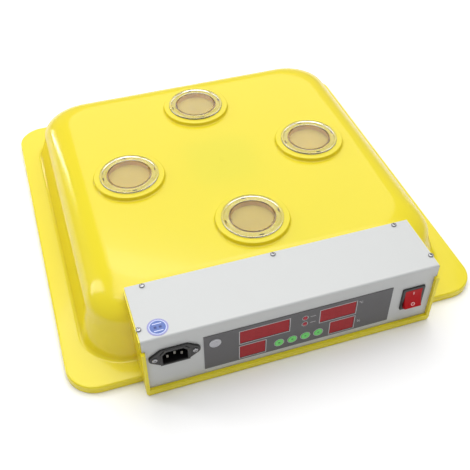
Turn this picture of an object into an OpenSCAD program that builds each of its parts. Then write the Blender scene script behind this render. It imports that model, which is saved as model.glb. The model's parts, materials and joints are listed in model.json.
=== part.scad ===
// Egg incubator cover unit: a moulded domed cover with four round windows, a control box
// across its front edge, and the fan, heater ring and sensors that hang under the dome.
// Millimetres. Origin at the middle of the footprint on the resting plane, +Y to the back, +Z up.

/* [Cover moulding] */
// Width of the flange, left to right
flange_w = 456; // [420:1:560]
// Depth of the flange, front to back
flange_d = 453; // [420:1:560]
// Height of the flange's top face over the resting plane
flange_h = 9.5; // [8:0.5:14]
// Corner radius of the flange
flange_r = 32; // [20:1:45]
// Wall thickness of the moulding
wall = 3; // [2.5:0.1:3.6]
// Flange left clear beside the dome, left and right
margin_side = 22.5; // [18:0.5:30]
// Flange left clear in front of the dome
margin_front = 22; // [18:0.5:26]
// Flange left clear behind the dome
margin_back = 24; // [18:0.5:30]
// Corner radius of the dome at its foot
dome_r = 48; // [42:1:60]
// Height of the dome's flat top over the resting plane
dome_h = 74; // [70:0.5:84]
// How far the steep lower wall leans in
wall_lean = 10; // [6:0.5:14]
// Height where the rounded shoulder starts
shoulder_z = 42; // [34:1:46]
// Inset from the foot to where the flat top starts
shoulder_in = 47; // [40:1:52]

/* [Windows] */
// Distance from the dome's middle to each window's middle
window_pitch = 112; // [106:1:114]
// Place of the dome's middle mark, front to back
dome_cy = 10.7; // [6:0.1:14]
// Radius of the raised boss round a window
boss_r = 41; // [38:0.5:43]
// Height of the boss over the dome's top
boss_h = 5; // [4:0.5:6]
// Outer radius of the clear cap
cap_r = 34; // [31:0.5:36]
// Radius seen through the cap
sight_r = 24.2; // [20:0.1:25]
// Thickness of the cap's and inner pane's clear plastic
pane_t = 1.3; // [1:0.1:1.6]

/* [Control box] */
// Width of the box over its side walls
box_w = 312; // [290:1:360]
// How far the box stands out in front of the flange
box_out = 19; // [15:0.5:26]
// Height of the box's lid over the resting plane
box_h = 81.6; // [79:0.1:92]
// Depth of the lid from the box's front lip to its back edge
box_d = 75; // [72:0.5:82]
// Thickness of the side walls at the front lip
lip_t = 4; // [3:0.1:5.6]
// Height of the lip under the front plate
lip_h = 8.2; // [6:0.1:13]
// Height where the side lips end
side_lip_z = 66; // [60:1:68]
// How far the front plate sits back from the lip
recess = 3.7; // [3:0.1:4.5]
// Thickness of the sheet metal cover
sheet_t = 1.2; // [1:0.1:1.6]
// Outer radius of the cover's front bend
bend_r = 2.4; // [2:0.2:8]

/* [Control panel] */
// Width of the panel overlay
panel_w = 200; // [192:1:208]
// Height of the panel overlay
panel_h = 50.3; // [48:0.1:52]
// Middle of the overlay, left to right
panel_x = 5.2; // [2:0.1:8]
// Middle of the overlay over the resting plane
panel_z = 40.5; // [38:0.5:42]
// Height of every display window
display_h = 18.8; // [18:0.1:19.4]
// Diameter of the push buttons
button_d = 9.4; // [8:0.1:10]
// Spacing of the push buttons
button_pitch = 14.2; // [13.5:0.1:15]
// Travel of a push button
button_travel = 0.8; // [0.5:0.1:0.8]

/* [Switch and inlet] */
// Middle of the rocker switch, left to right
switch_x = 130; // [126:0.1:133]
// Middle of the rocker switch over the resting plane
switch_z = 42.5; // [40:0.1:46]
// Tilt of the rocker each way from level
rocker_tilt = 11; // [8:1:12]
// Middle of the mains inlet, left to right
inlet_x = -123.9; // [-125:0.1:-120]
// Middle of the mains inlet over the resting plane
inlet_z = 53.3; // [44:0.1:54]

/* [Fan and heater] */
// Side of the square fan frame
fan_w = 80; // [70:1:92]
// Thickness of the fan frame
fan_t = 25; // [20:1:26]
// Height of the fan frame's underside over the resting plane
fan_z = 40; // [38:0.5:42]
// Number of fan blades
blades = 7; // [5:1:9]
// Radius of the heater ring's centre line
heater_ring_r = 145; // [141:0.5:148]
// Radius of the heater ring's tube
heater_tube_r = 3; // [2.5:0.1:3.5]
// Height of the heater ring's centre line
heater_z = 53; // [50:0.5:56]

/* [Hidden] */
$fn = 64;

yellow = [0.96, 0.90, 0.22];
grey = [0.80, 0.81, 0.81];
steel = [0.75, 0.75, 0.76];
eps = 0.5;                  // how far a cutter runs past a face
fit = 0.1;                  // gap between pieces that are only located by each other
slip = 0.05;                // running clearance of a shaft in its bore

// Footprint: the flange and the box together are centred on the origin
back_y = (flange_d + box_out) / 2;
flange_y = back_y - flange_d;
lip_y = flange_y - box_out;
dome_hx = flange_w / 2 - margin_side;
dome_y0 = flange_y + margin_front;
dome_y1 = back_y - margin_back;
skirt_hx = flange_w / 2;
ceiling_z = dome_h - wall;
boss_z = dome_h + boss_h;

// Shoulder of the dome: an upright ellipse quarter from the lower wall to the flat top
arc_a = shoulder_in - wall_lean;
arc_b = dome_h - shoulder_z;
ARC_STEPS = 8;
top_r_loss = 6;             // the dome's corner radius shrinks by this up to its top
CORNER_STEPS = 9;

// Control box surfaces
face_y = lip_y + recess;            // front of the sheet metal
face_in = face_y + sheet_t;         // back of the front plate
overlay_t = 0.7;
overlay_y = face_y - overlay_t;     // front of the overlay
box_hx = box_w / 2;
inner_hx = box_hx - lip_t;
rest_z = box_h - sheet_t - 0.2;     // top of the side walls under the lid
lid_hx = box_hx - 1.6;              // the side walls show outside the lid by 1.6
lid_back = lip_y + box_d;
plate_hx = inner_hx - 0.3;
bend_y = face_y + bend_r;           // centre of the front bend
bend_z = box_h - bend_r;
back_wall = 3;
floor_t = 3;
plate_z0 = floor_t + 1;
screw_r = 1.45;
pilot_r = 1.5;
side_screw = [inner_hx + 0.7, flange_y];
back_screw = [137.4, lid_back - 3.7];
cover_screw_at = [[-side_screw[0], side_screw[1]], [side_screw[0], side_screw[1]],
    [-back_screw[0], back_screw[1]], [0, back_screw[1]], [back_screw[0], back_screw[1]]];

// Windows: direction of each from the dome's middle
window_dirs = [[0, -1], [-1, 0], [0, 1], [1, 0]];
function window_at(i) = [window_dirs[i][0] * window_pitch, dome_cy + window_dirs[i][1] * window_pitch];
skirt_t = 1.5;                      // wall of the cap's skirt
window_hole_r = sight_r + skirt_t + 0.3;
cap_gap = 0.1;
cap_z = boss_z + cap_gap;
cap_rim_h = 1.9;
pane_z = ceiling_z + 0.8;
tab_r = cap_r - 3;
tab_w = 5;
tab_t = 1.6;

// Panel: middle x, width and row of each display
upper_z = panel_z + 10;
lower_z = panel_z - 13.1;
displays = [[-32.5, 52, upper_z], [-44.9, 27.3, lower_z], [45.9, 39.3, upper_z], [52, 27.1, lower_z]];
display_gap = 0.25;
board_y = face_in + 6.2;            // front of the display board
board_t = 1.6;
board_hx = 96;
board_z0 = panel_z - 23;
board_z1 = panel_z + 23;
button_z = panel_z - 14.3;
function button_x(i) = -16.7 + (i - 1) * button_pitch;
led_x = 9.9;
led_z = [upper_z + 4.3, upper_z - 4.7];
led_r = 2.5;
post_at = [for (x = [-board_hx + 6, board_hx - 2]) for (z = [board_z0 + 4, board_z1 - 4]) [x, z]];

// Fan: corner screw places
fan_pitch = fan_w - 8.5;
fan_bore_r = fan_w / 2 - 1.5;
fan_hub_r = 17;
shaft_r = 1.5;
fan_screw_at = [for (sx = [-1, 1]) for (sy = [-1, 1]) [sx * fan_pitch / 2, dome_cy + sy * fan_pitch / 2]];
guard_wire_r = 0.9;
guard_z = fan_z - guard_wire_r - 0.1;

// Heater ring: open at the front by twice this angle
heater_gap = 9;
heater_end_len = 11;
clip_angles = [45, 135, 225, 315];
clip_w = 7;
clip_top = heater_z + 7;
probe_x = 52;
probe_y = -132;
probe_r = 2.6;
probe_z = clip_top;
humidity_x = -52;

// Grommet through the dome's front wall
grommet_x = 24;
grommet_z = 36;
grommet_r = 5;
function wall_y(z) = dome_y0 + wall_lean * (z - flange_h) / (shoulder_z - flange_h);
grommet_y0 = wall_y(grommet_z - 6.5) - 2;
grommet_y1 = wall_y(grommet_z + 6.5) + wall + 2.2;
lead_off = 1.45;
lead_r = 1.1;

// Power board on four posts behind the display board
pcb_x = [-72, 82];
pcb_y0 = flange_y - 4;
pcb_y1 = pcb_y0 + 24;
pcb_z = flange_h + 3.5;
pcb_top = pcb_z + board_t;
pcb_screw_at = [for (x = [pcb_x[0] + 5, pcb_x[1] - 5]) for (y = [pcb_y0 + 7.5, pcb_y1 - 4]) [x, y]];

// ---- general shapes -------------------------------------------------------------------

// Rectangle with round corners, centred left to right, from y0 to y1
module round_rect(hx, y0, y1, r) {
    translate([-hx + r, y0]) square([2 * (hx - r), y1 - y0]);
    translate([-hx, y0 + r]) square([2 * hx, y1 - y0 - 2 * r]);
    for (x = [-hx + r, hx - r]) for (y = [y0 + r, y1 - r]) translate([x, y]) circle(r = r);
}

// Box from one corner to the other
module block(lo, hi) {
    translate(lo) cube(hi - lo);
}

// Cylinder along +Y from y0 to y1
module rod_y(x, z, y0, y1, r) {
    translate([x, y0, z]) rotate([-90, 0, 0]) cylinder(r = r, h = y1 - y0);
}

// Outline drawn in Y and Z, extruded across X
module across_x(x0, x1) {
    translate([x0, 0, 0]) rotate([90, 0, 90]) linear_extrude(height = x1 - x0) children();
}

// Points round one level of the dome, anticlockwise from the front right corner
function level(inset, r, z) =
    let (hx = dome_hx - inset, y0 = dome_y0 + inset, y1 = dome_y1 - inset,
         corners = [[hx - r, y0 + r, -90], [hx - r, y1 - r, 0],
                    [-hx + r, y1 - r, 90], [-hx + r, y0 + r, 180]])
    [for (c = corners) for (i = [0:CORNER_STEPS - 1])
        let (a = c[2] + 90 * i / (CORNER_STEPS - 1)) [c[0] + r * cos(a), c[1] + r * sin(a), z]];

// Solid through a stack of levels with the same number of points
module loft(levels) {
    n = len(levels[0]);
    m = len(levels);
    points = [for (l = levels) for (p = l) p];
    sides = [for (k = [0:m - 2]) for (i = [0:n - 1])
        let (a = k * n + i, b = k * n + (i + 1) % n) each [[a, a + n, b + n], [a, b + n, b]]];
    bottom = [for (i = [0:n - 1]) i];
    top = [for (i = [0:n - 1]) (m - 1) * n + n - 1 - i];
    polyhedron(points, concat([bottom], sides, [top]));
}

// Tube through a list of points, with a ring of flats at each; up is never along the route
function unit(v) = v / norm(v);
function heading(p, i) = unit(p[min(i + 1, len(p) - 1)] - p[max(i - 1, 0)]);
module tube(path, r, up, sides = 8) {
    loft([for (i = [0:len(path) - 1])
        let (t = heading(path, i), u = unit(cross(up, t)), v = cross(t, u))
        [for (k = [0:sides - 1]) let (a = 360 * k / sides) path[i] + r * (cos(a) * u + sin(a) * v)]]);
}

// Smooth route through hand-set points, four steps to a span
function bend(p, i, t) =
    let (a = p[max(i - 1, 0)], b = p[i], c = p[i + 1], d = p[min(i + 2, len(p) - 1)])
    0.5 * (2 * b + t * (c - a) + t * t * (2 * a - 5 * b + 4 * c - d) + t * t * t * (3 * b - a - 3 * c + d));
function route(p) = concat([for (i = [0:len(p) - 2]) for (t = [0:3]) bend(p, i, t / 4)], [p[len(p) - 1]]);

// Screw with a pan head, its head's underside at the origin, pointing down
module pan_screw(head_r, head_h, shaft_r, length) {
    cylinder(r1 = head_r, r2 = head_r * 0.86, h = head_h);
    translate([0, 0, -length]) cylinder(r = shaft_r, h = length + 0.01);
}
module cross_recess(size, depth) {
    for (a = [0, 90]) rotate(a) translate([-size / 2, -size / 8, -depth]) cube([size, size / 4, depth + 1]);
}
module crossed_screw(head_r, head_h, shaft_r, length) {
    difference() {
        pan_screw(head_r, head_h, shaft_r, length);
        translate([0, 0, head_h]) cross_recess(head_r * 1.2, head_h * 0.45);
    }
}

// ---- moulded cover --------------------------------------------------------------------

function shoulder(t) = [shoulder_in - arc_a * cos(t), shoulder_z + arc_b * sin(t)];
function shoulder_out(t) = unit([cos(t) / arc_a, sin(t) / arc_b]);
function corner_r(t) = dome_r - top_r_loss * t / 90;

module dome_outside() {
    loft(concat([level(0, dome_r, flange_h - wall), level(0, dome_r, flange_h)],
        [for (i = [0:ARC_STEPS]) let (t = 90 * i / ARC_STEPS, s = shoulder(t))
            level(s[0], corner_r(t), s[1])]));
}

module dome_inside() {
    loft(concat([level(wall, dome_r - wall, -1), level(wall, dome_r - wall, flange_h)],
        [for (i = [0:ARC_STEPS])
            let (t = 90 * i / ARC_STEPS, s = shoulder(t), n = shoulder_out(t))
            level(s[0] + wall * n[0], corner_r(t) - wall * n[0], s[1] - wall * n[1])]));
}

module flange_block() {
    linear_extrude(height = flange_h) round_rect(skirt_hx, flange_y, back_y, flange_r);
}

// Box walls seen from the front, with rounded lower corners
module box_outside() {
    r = 4;
    translate([0, lid_back + 1.1, 0]) rotate([90, 0, 0]) linear_extrude(height = box_d + 1.1) {
        translate([-box_hx, r]) square([box_w, rest_z - r]);
        translate([-box_hx + r, 0]) square([box_w - 2 * r, rest_z]);
        for (x = [-box_hx + r, box_hx - r]) translate([x, r]) circle(r = r);
    }
}

module box_inside() {
    difference() {
        union() {
            block([-inner_hx, face_y - 0.3, floor_t], [inner_hx, lid_back + 1.1 - back_wall, box_h]);
            block([-inner_hx, lip_y - eps, lip_h], [inner_hx, face_y, box_h]);
        }
        dome_outside();
        flange_block();
        for (p = cover_screw_at) translate([p[0], p[1], 60]) cylinder(r = 4, h = rest_z - 60);
        for (p = pcb_screw_at) translate([p[0], p[1], 0]) cylinder(r = 3, h = pcb_z);
    }
}

// Room for the cover's bend over the front of both side walls
module bend_room() {
    r = bend_r - sheet_t - 0.2;
    across_x(-box_hx - eps, box_hx + eps) difference() {
        union() {
            translate([lip_y - eps, side_lip_z]) square([bend_y - r - lip_y + eps, box_h]);
            translate([lip_y - eps, bend_z]) square([bend_y - lip_y + eps, box_h]);
        }
        translate([bend_y, bend_z]) circle(r = r);
    }
}

module window_hole(i) {
    translate([window_at(i)[0], window_at(i)[1], 0]) {
        translate([0, 0, ceiling_z - eps]) cylinder(r = window_hole_r, h = wall + boss_h + 2 * eps);
        for (a = [0:90:270]) rotate(a)
            translate([tab_r - tab_t, -tab_w / 2 - 0.3, ceiling_z - eps])
                cube([tab_t + 0.4, tab_w + 0.6, wall + boss_h + 2 * eps]);
    }
}

module cover_shell() {
    color(yellow) union() {
        difference() {
            union() {
                flange_block();
                dome_outside();
                difference() { box_outside(); box_inside(); bend_room(); }
                for (i = [0:3]) translate([window_at(i)[0], window_at(i)[1], dome_h - wall / 2])
                    cylinder(r = boss_r, h = boss_h + wall / 2);
                translate([0, dome_cy, dome_h - wall / 2]) cylinder(r = 3, h = wall / 2 + 0.3);
            }
            translate([0, 0, -eps]) linear_extrude(height = flange_h - wall + eps)
                round_rect(skirt_hx - wall, flange_y + wall, back_y - wall, flange_r - wall);
            dome_inside();
            for (i = [0:3]) window_hole(i);
            for (p = cover_screw_at) translate([p[0], p[1], rest_z - 8]) cylinder(r = pilot_r, h = 8 + eps);
            for (p = pcb_screw_at) translate([p[0], p[1], flange_h - 2]) cylinder(r = 1.2, h = 6);
            rod_y(grommet_x, grommet_z, grommet_y0 - 4, grommet_y1 + 4, grommet_r + 0.2);
        }
        for (p = fan_screw_at) translate([p[0], p[1], 0]) hung_post(4.5, fan_z + fan_t, pilot_r);
        for (a = clip_angles) translate([0, dome_cy, 0]) rotate(a) translate([heater_ring_r, 0, 0])
            hung_post(4, clip_top, 0);
        translate([probe_x, probe_y, 0]) hung_post(3.5, probe_z + 6, 0);
        translate([humidity_x, probe_y, 0]) hung_post(3.5, humidity_top, 0);
    }
}

// Post moulded under the dome's top, down to z, with a blind pilot hole
module hung_post(r, z, hole_r) {
    difference() {
        translate([0, 0, z]) cylinder(r = r, h = ceiling_z + wall / 2 - z);
        if (hole_r > 0) translate([0, 0, z - eps]) cylinder(r = hole_r, h = ceiling_z - 0.5 - z + eps);
    }
}

// ---- windows --------------------------------------------------------------------------

// Clear cap: rim on the boss, a sunk disc to look through, a skirt and four hooked tabs
module window_cap(i) {
    color([0.93, 0.95, 0.92, 0.35]) translate([window_at(i)[0], window_at(i)[1], 0]) {
        rotate_extrude() {
            translate([sight_r, cap_z]) square([cap_r - sight_r - 0.6, cap_rim_h]);
            translate([sight_r, cap_z]) square([cap_r - sight_r, cap_rim_h - 0.6]);
            translate([cap_r - 0.6, cap_z + cap_rim_h - 0.6]) circle(r = 0.6, $fn = 24);
            translate([sight_r, pane_z - 0.5]) square([skirt_t, cap_z + 0.1 - pane_z + 0.5]);
            translate([0, cap_z]) square([sight_r + 0.1, pane_t]);
        }
        for (a = [0:90:270]) rotate(a) {
            block([tab_r - tab_t + 0.2, -tab_w / 2, ceiling_z - 2.4],
                  [tab_r - 0.2, tab_w / 2, cap_z + 0.1]);
            block([tab_r - tab_t + 0.2, -tab_w / 2, ceiling_z - 2.4],
                  [tab_r + 1, tab_w / 2, ceiling_z - 0.4]);
        }
    }
}
module window_cap_front() { window_cap(0); }
module window_cap_left() { window_cap(1); }
module window_cap_back() { window_cap(2); }
module window_cap_right() { window_cap(3); }

// Inner pane, held in the bottom of the cap's skirt
module window_pane(i) {
    color([0.93, 0.95, 0.92, 0.35]) translate([window_at(i)[0], window_at(i)[1], pane_z])
        cylinder(r = sight_r - slip, h = pane_t);
}
module window_pane_front() { window_pane(0); }
module window_pane_left() { window_pane(1); }
module window_pane_back() { window_pane(2); }
module window_pane_right() { window_pane(3); }

// ---- control box ----------------------------------------------------------------------

// Section of the bent sheet, from its back edge over the bend down to z0, grown outwards
module sheet_section(z0, grow) {
    r = bend_r + grow;
    translate([bend_y, box_h - sheet_t]) square([lid_back - bend_y, sheet_t + grow]);
    translate([face_y - grow, z0]) square([sheet_t + grow, bend_z - z0]);
    intersection() {
        difference() {
            translate([bend_y, bend_z]) circle(r = r);
            translate([bend_y, bend_z]) circle(r = bend_r - sheet_t);
        }
        translate([bend_y - r, bend_z]) square([r, r]);
    }
}

module control_cover() {
    color(grey) difference() {
        union() {
            across_x(-lid_hx, lid_hx) sheet_section(side_lip_z + 0.3, 0);
            block([-plate_hx, face_y, plate_z0], [plate_hx, face_in, side_lip_z + 0.4]);
        }
        for (p = cover_screw_at) translate([p[0], p[1], box_h - sheet_t - eps])
            cylinder(r = 1.8, h = sheet_t + 2 * eps);
        panel_cutouts();
        for (x = [-20, 20]) rod_y(inlet_x + x, inlet_z, face_y - eps, face_in + eps, 1.7);
        translate([inlet_x, 0, inlet_z]) block([-13.9, face_y - eps, -10.3], [13.9, face_in + eps, 10.3]);
        translate([switch_x, 0, switch_z]) block([-11.1, face_y - eps, -14.1], [11.1, face_in + eps, 14.1]);
    }
}

// Windows for the displays and holes for the lamps and buttons, through plate and overlay
module panel_cutouts() {
    for (d = displays) translate([d[0], 0, d[2]])
        block([-d[1] / 2, overlay_y - eps, -display_h / 2], [d[1] / 2, face_in + eps, display_h / 2]);
    for (z = led_z) rod_y(led_x, z, overlay_y - eps, face_in + eps, led_r + 0.2);
    for (i = [1:4]) rod_y(button_x(i), button_z, overlay_y - eps, face_in + eps, button_d / 2 + 0.2);
}

module cover_screws() {
    color(steel) for (p = cover_screw_at) translate([p[0], p[1], box_h]) crossed_screw(2.8, 1.7, screw_r, 8);
}

module panel_overlay() {
    color([0.35, 0.36, 0.37]) difference() {
        translate([panel_x, 0, panel_z])
            block([-panel_w / 2, overlay_y, -panel_h / 2], [panel_w / 2, face_y, panel_h / 2]);
        panel_cutouts();
    }
}

module panel_emblem() {
    color([0.85, 0.86, 0.88]) rod_y(-83.5, panel_z + 12.8, overlay_y - 0.6, overlay_y, 6);
}

// Round paper label on the lid, just behind the bend
module round_label() {
    label_t = 0.25;
    label_r = 10.2;
    label_x = -134.9;
    color([0.30, 0.42, 0.78]) intersection() {
        across_x(-box_hx, 0) difference() {
            sheet_section(side_lip_z + 0.3, label_t);
            sheet_section(side_lip_z, 0);
        }
        translate([label_x, bend_y + label_r + 0.3, bend_z]) cylinder(r = label_r, h = 20);
    }
}

module button(i) {
    r = button_d / 2;
    color([0.40, 0.78, 0.36]) {
        translate([button_x(i), face_in + 0.2, button_z]) rotate([90, 0, 0]) {
            cylinder(r = r, h = sheet_t + overlay_t + 0.3);
            translate([0, 0, sheet_t + overlay_t + 0.3]) cylinder(r1 = r, r2 = r - 0.5, h = 0.5);
        }
        rod_y(button_x(i), button_z, face_in + 0.2, face_in + 1.2, r + 0.9);
    }
}
module button_1() { button(1); }
module button_2() { button(2); }
module button_3() { button(3); }
module button_4() { button(4); }

module display(i) {
    d = displays[i];
    color([0.58, 0.24, 0.26]) translate([d[0], 0, d[2]])
        block([-d[1] / 2 + display_gap, face_y - 0.4, -display_h / 2 + display_gap],
              [d[1] / 2 - display_gap, board_y, display_h / 2 - display_gap]);
}
module display_upper_left() { display(0); }
module display_lower_left() { display(1); }
module display_upper_right() { display(2); }
module display_lower_right() { display(3); }

module indicator_leds() {
    color([0.70, 0.08, 0.10]) for (z = led_z) {
        rod_y(led_x, z, face_y, board_y, led_r);
        translate([led_x, face_y, z]) sphere(r = led_r);
        rod_y(led_x, z, board_y - 1, board_y, led_r + 0.4);
    }
}

module display_board() {
    color([0.10, 0.38, 0.22]) difference() {
        block([-board_hx, board_y, board_z0], [board_hx + 4, board_y + board_t, board_z1]);
        for (p = post_at) rod_y(p[0], p[1], board_y - eps, board_y + board_t + eps, 1.6);
    }
}

module tact_switches() {
    plunger_y = face_in + 1.2 + button_travel + fit;
    color([0.15, 0.15, 0.16]) for (i = [1:4]) {
        translate([button_x(i), 0, button_z]) block([-3, board_y - 3.2, -3], [3, board_y, 3]);
        rod_y(button_x(i), button_z, plunger_y, board_y, 1.75);
    }
}

module board_spacers() {
    color([0.85, 0.85, 0.80]) for (p = post_at) difference() {
        rod_y(p[0], p[1], face_in, board_y, 3);
        rod_y(p[0], p[1], face_in - eps, board_y + eps, 1.6);
    }
}

module board_screws() {
    color(steel) for (p = post_at) translate([p[0], board_y + board_t, p[1]]) rotate([-90, 0, 0])
        crossed_screw(2.8, 1.8, 1.4, 7);
}

// ---- mains inlet ----------------------------------------------------------------------

inlet_flange_t = 2.5;
inlet_collar_t = 0.9;
socket_y = face_y + 12.3;           // floor of the socket
inlet_back = socket_y + 6;
inlet_front = face_y - inlet_flange_t - inlet_collar_t;

// Outline with two corners cut at the top
module cut_outline(hx, hz, cut) {
    polygon([[-hx, -hz], [hx, -hz], [hx, hz - cut], [hx - cut, hz], [-hx + cut, hz], [-hx, hz - cut]]);
}
module inlet_plate(y0, y1) {
    translate([inlet_x, y1, inlet_z]) rotate([90, 0, 0]) linear_extrude(height = y1 - y0) children();
}
blade_tail = 8;                     // how far the blades stand out behind, for the leads
// Pin places: line, neutral and, longer and higher, earth
pin_at = [[-7, -2, 0], [7, -2, 0], [0, 2, -0.8]];

module inlet_body() {
    color([0.07, 0.07, 0.07]) difference() {
        union() {
            inlet_plate(face_y - inlet_flange_t, face_y) {
                polygon([[-20, -5.5], [-13.5, -11.2], [13.5, -11.2], [20, -5.5],
                         [20, 5.5], [13.5, 11.2], [-13.5, 11.2], [-20, 5.5]]);
                for (x = [-20, 20]) translate([x, 0]) circle(r = 5.5);
            }
            inlet_plate(inlet_front, face_y) cut_outline(14.6, 10.6, 4.5);
            inlet_plate(face_y - eps, inlet_back) cut_outline(13.6, 10, 4);
        }
        inlet_plate(inlet_front - eps, socket_y) cut_outline(12.1, 8.2, 4);
        for (x = [-20, 20]) rod_y(inlet_x + x, inlet_z, face_y - 4, face_y + eps, 1.7);
        for (p = pin_at) translate([inlet_x + p[0], 0, inlet_z + p[1]])
            block([-1.05, socket_y - eps, -2.05], [1.05, inlet_back + eps, 2.05]);
    }
}

module inlet_pins() {
    color([0.85, 0.82, 0.72]) for (p = pin_at) translate([inlet_x + p[0], 0, inlet_z + p[1]])
        difference() {
            block([-1, inlet_front + 3.5 + p[2], -2], [1, inlet_back + blade_tail, 2]);
            translate([-2, inlet_back + 5, 0]) rotate([0, 90, 0]) cylinder(r = 0.8, h = 4);
        }
}

module inlet_screws() {
    color(steel) for (x = [-20, 20])
        translate([inlet_x + x, face_y - inlet_flange_t, inlet_z]) rotate([90, 0, 0])
            crossed_screw(2.7, 1.2, screw_r, 8);
}

// ---- rocker switch --------------------------------------------------------------------

rocker_hx = 9.5;
rocker_r = 12.6;                    // ends of the rocker lie on this radius about its pivot
pivot_y = face_y + 1;
bezel_y = face_y - 2;
rocker_valley = 3.4;
rocker_peak = 5.2;
rocker_back = 4;

module switch_housing() {
    color([0.06, 0.06, 0.06]) translate([switch_x, 0, switch_z]) difference() {
        union() {
            block([-12.7, bezel_y, -15.3], [12.7, face_y, 15.3]);
            block([-10.9, face_y, -13.9], [10.9, face_y + 22, 13.9]);
        }
        block([-rocker_hx - 0.25, bezel_y - eps, -rocker_r - 0.25],
              [rocker_hx + 0.25, pivot_y + 9, rocker_r + 0.25]);
        translate([-11.5, pivot_y, 0]) rotate([0, 90, 0]) cylinder(r = 1.5 + slip, h = 23);
        for (z = [-7.5, 0]) block([-3.25, face_y + 18, z - 0.45], [3.25, face_y + 22 + eps, z + 0.45]);
    }
}

module switch_terminals() {
    color([0.85, 0.82, 0.72]) translate([switch_x, 0, switch_z]) for (z = [-7.5, 0])
        difference() {
            block([-3.15, face_y + 18.1, z - 0.4], [3.15, face_y + 30, z + 0.4]);
            translate([0, face_y + 27, z - 2]) cylinder(r = 0.9, h = 4);
        }
}

// Rocker with its top end pressed in, on two trunnions; its front is a shallow valley
module switch_rocker() {
    tip = sqrt(rocker_r * rocker_r - rocker_peak * rocker_peak);
    color([0.80, 0.08, 0.10]) translate([switch_x, pivot_y, switch_z]) rotate([-rocker_tilt, 0, 0]) {
        intersection() {
            across_x(-rocker_hx, rocker_hx) circle(r = rocker_r);
            across_x(-rocker_hx, rocker_hx)
                polygon([[-rocker_valley, 0], [-rocker_peak, tip], [-rocker_peak, 20], [rocker_back, 20],
                         [rocker_back, -20], [-rocker_peak, -20], [-rocker_peak, -tip]]);
        }
        translate([-10.7, 0, 0]) rotate([0, 90, 0]) cylinder(r = 1.5, h = 21.4);
    }
}

// ---- power board ----------------------------------------------------------------------

module power_board() {
    color([0.75, 0.62, 0.30]) difference() {
        block([pcb_x[0], pcb_y0, pcb_z], [pcb_x[1], pcb_y1, pcb_top]);
        for (p = pcb_screw_at) translate([p[0], p[1], pcb_z - eps]) cylinder(r = 1.3, h = board_t + 2 * eps);
    }
}
module power_board_screws() {
    color(steel) for (p = pcb_screw_at) translate([p[0], p[1], pcb_top]) crossed_screw(2.2, 1.5, 1.1, 6);
}
module transformer() {
    y0 = pcb_y0 + 2;
    color([0.35, 0.33, 0.30]) {
        block([-50, y0 + 4, pcb_top], [-18, y0 + 16, pcb_top + 27]);
        block([-44, y0, pcb_top + 4], [-24, y0 + 20, pcb_top + 23]);
    }
}
module relay() {
    color([0.12, 0.25, 0.60]) block([-10, pcb_y0 + 4, pcb_top], [9, pcb_y0 + 19, pcb_top + 15.5]);
}
module capacitors() {
    color([0.10, 0.12, 0.30]) for (c = [[17, 5, 18], [29, 5, 18], [38, 3, 11]])
        translate([c[0], pcb_y0 + 12, pcb_top]) cylinder(r = c[1], h = c[2]);
}
module terminal_block() {
    color([0.10, 0.45, 0.25]) difference() {
        block([54, pcb_y0 + 2, pcb_top], [74, pcb_y0 + 12, pcb_top + 10]);
        for (x = [56.5:5:71.5]) translate([x, pcb_y0 + 7, pcb_top + 4]) cylinder(r = 1.5, h = 7);
    }
}
module fuse_holder() {
    color([0.12, 0.12, 0.12]) block([-62, pcb_y0 + 2, pcb_top], [-53, pcb_y0 + 22, pcb_top + 10]);
}
module buzzer() {
    color([0.10, 0.10, 0.10]) difference() {
        translate([47.2, pcb_y0 + 12, pcb_top]) cylinder(r = 5.8, h = 9.5);
        translate([47.2, pcb_y0 + 12, pcb_top + 7.5]) cylinder(r = 1.2, h = 3);
    }
}

// ---- fan ------------------------------------------------------------------------------

module fan_plate() {
    linear_extrude(height = 3.5) difference() {
        round_rect(fan_w / 2, -fan_w / 2, fan_w / 2, 5);
        circle(r = fan_bore_r);
        for (sx = [-1, 1]) for (sy = [-1, 1]) translate([sx, sy] * fan_pitch / 2) circle(r = 2.2);
    }
}

module fan_frame() {
    strut = 3.4;
    color([0.08, 0.08, 0.08]) translate([0, dome_cy, fan_z]) {
        fan_plate();
        translate([0, 0, fan_t - 3.5]) fan_plate();
        difference() {
            cylinder(r = fan_w / 2 - 0.01, h = fan_t);
            translate([0, 0, -eps]) cylinder(r = fan_bore_r, h = fan_t + 2 * eps);
        }
        translate([0, 0, fan_t - 6]) cylinder(r = fan_hub_r, h = 6);
        for (a = [45:90:315]) rotate(a)
            block([fan_hub_r - 1, -strut / 2, fan_t - 4], [fan_bore_r + 0.5, strut / 2, fan_t]);
        difference() {
            translate([0, 0, 7]) cylinder(r = 3.5, h = fan_t - 12);
            translate([0, 0, 6]) cylinder(r = shaft_r + slip, h = fan_t - 12.5);
        }
    }
}

// Cup with blades, on a shaft in the frame's bearing tube
module fan_rotor() {
    cup_z = 2;
    cup_h = fan_t - 9.5;
    blade_r = fan_bore_r - 1.7;
    color([0.10, 0.10, 0.11]) translate([0, dome_cy, fan_z]) {
        difference() {
            translate([0, 0, cup_z]) cylinder(r = fan_hub_r - 0.5, h = cup_h);
            translate([0, 0, cup_z + 2]) cylinder(r = fan_hub_r - 2.5, h = cup_h);
        }
        translate([0, 0, cup_z + 1]) cylinder(r = shaft_r, h = fan_t - 12);
        intersection() {
            for (i = [0:blades - 1]) rotate(360 * i / blades)
                translate([fan_hub_r - 1.5, 0, cup_z + cup_h / 2])
                    rotate([38, 0, 0]) cube([2 * fan_w, 1.5, 24], center = true);
            difference() {
                translate([0, 0, cup_z]) cylinder(r = blade_r, h = cup_h);
                translate([0, 0, cup_z - 1]) cylinder(r = fan_hub_r - 1.5, h = cup_h + 2);
            }
        }
    }
}

module wire_ring(r) {
    rotate_extrude() translate([r, 0]) circle(r = guard_wire_r, $fn = 16);
}

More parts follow.
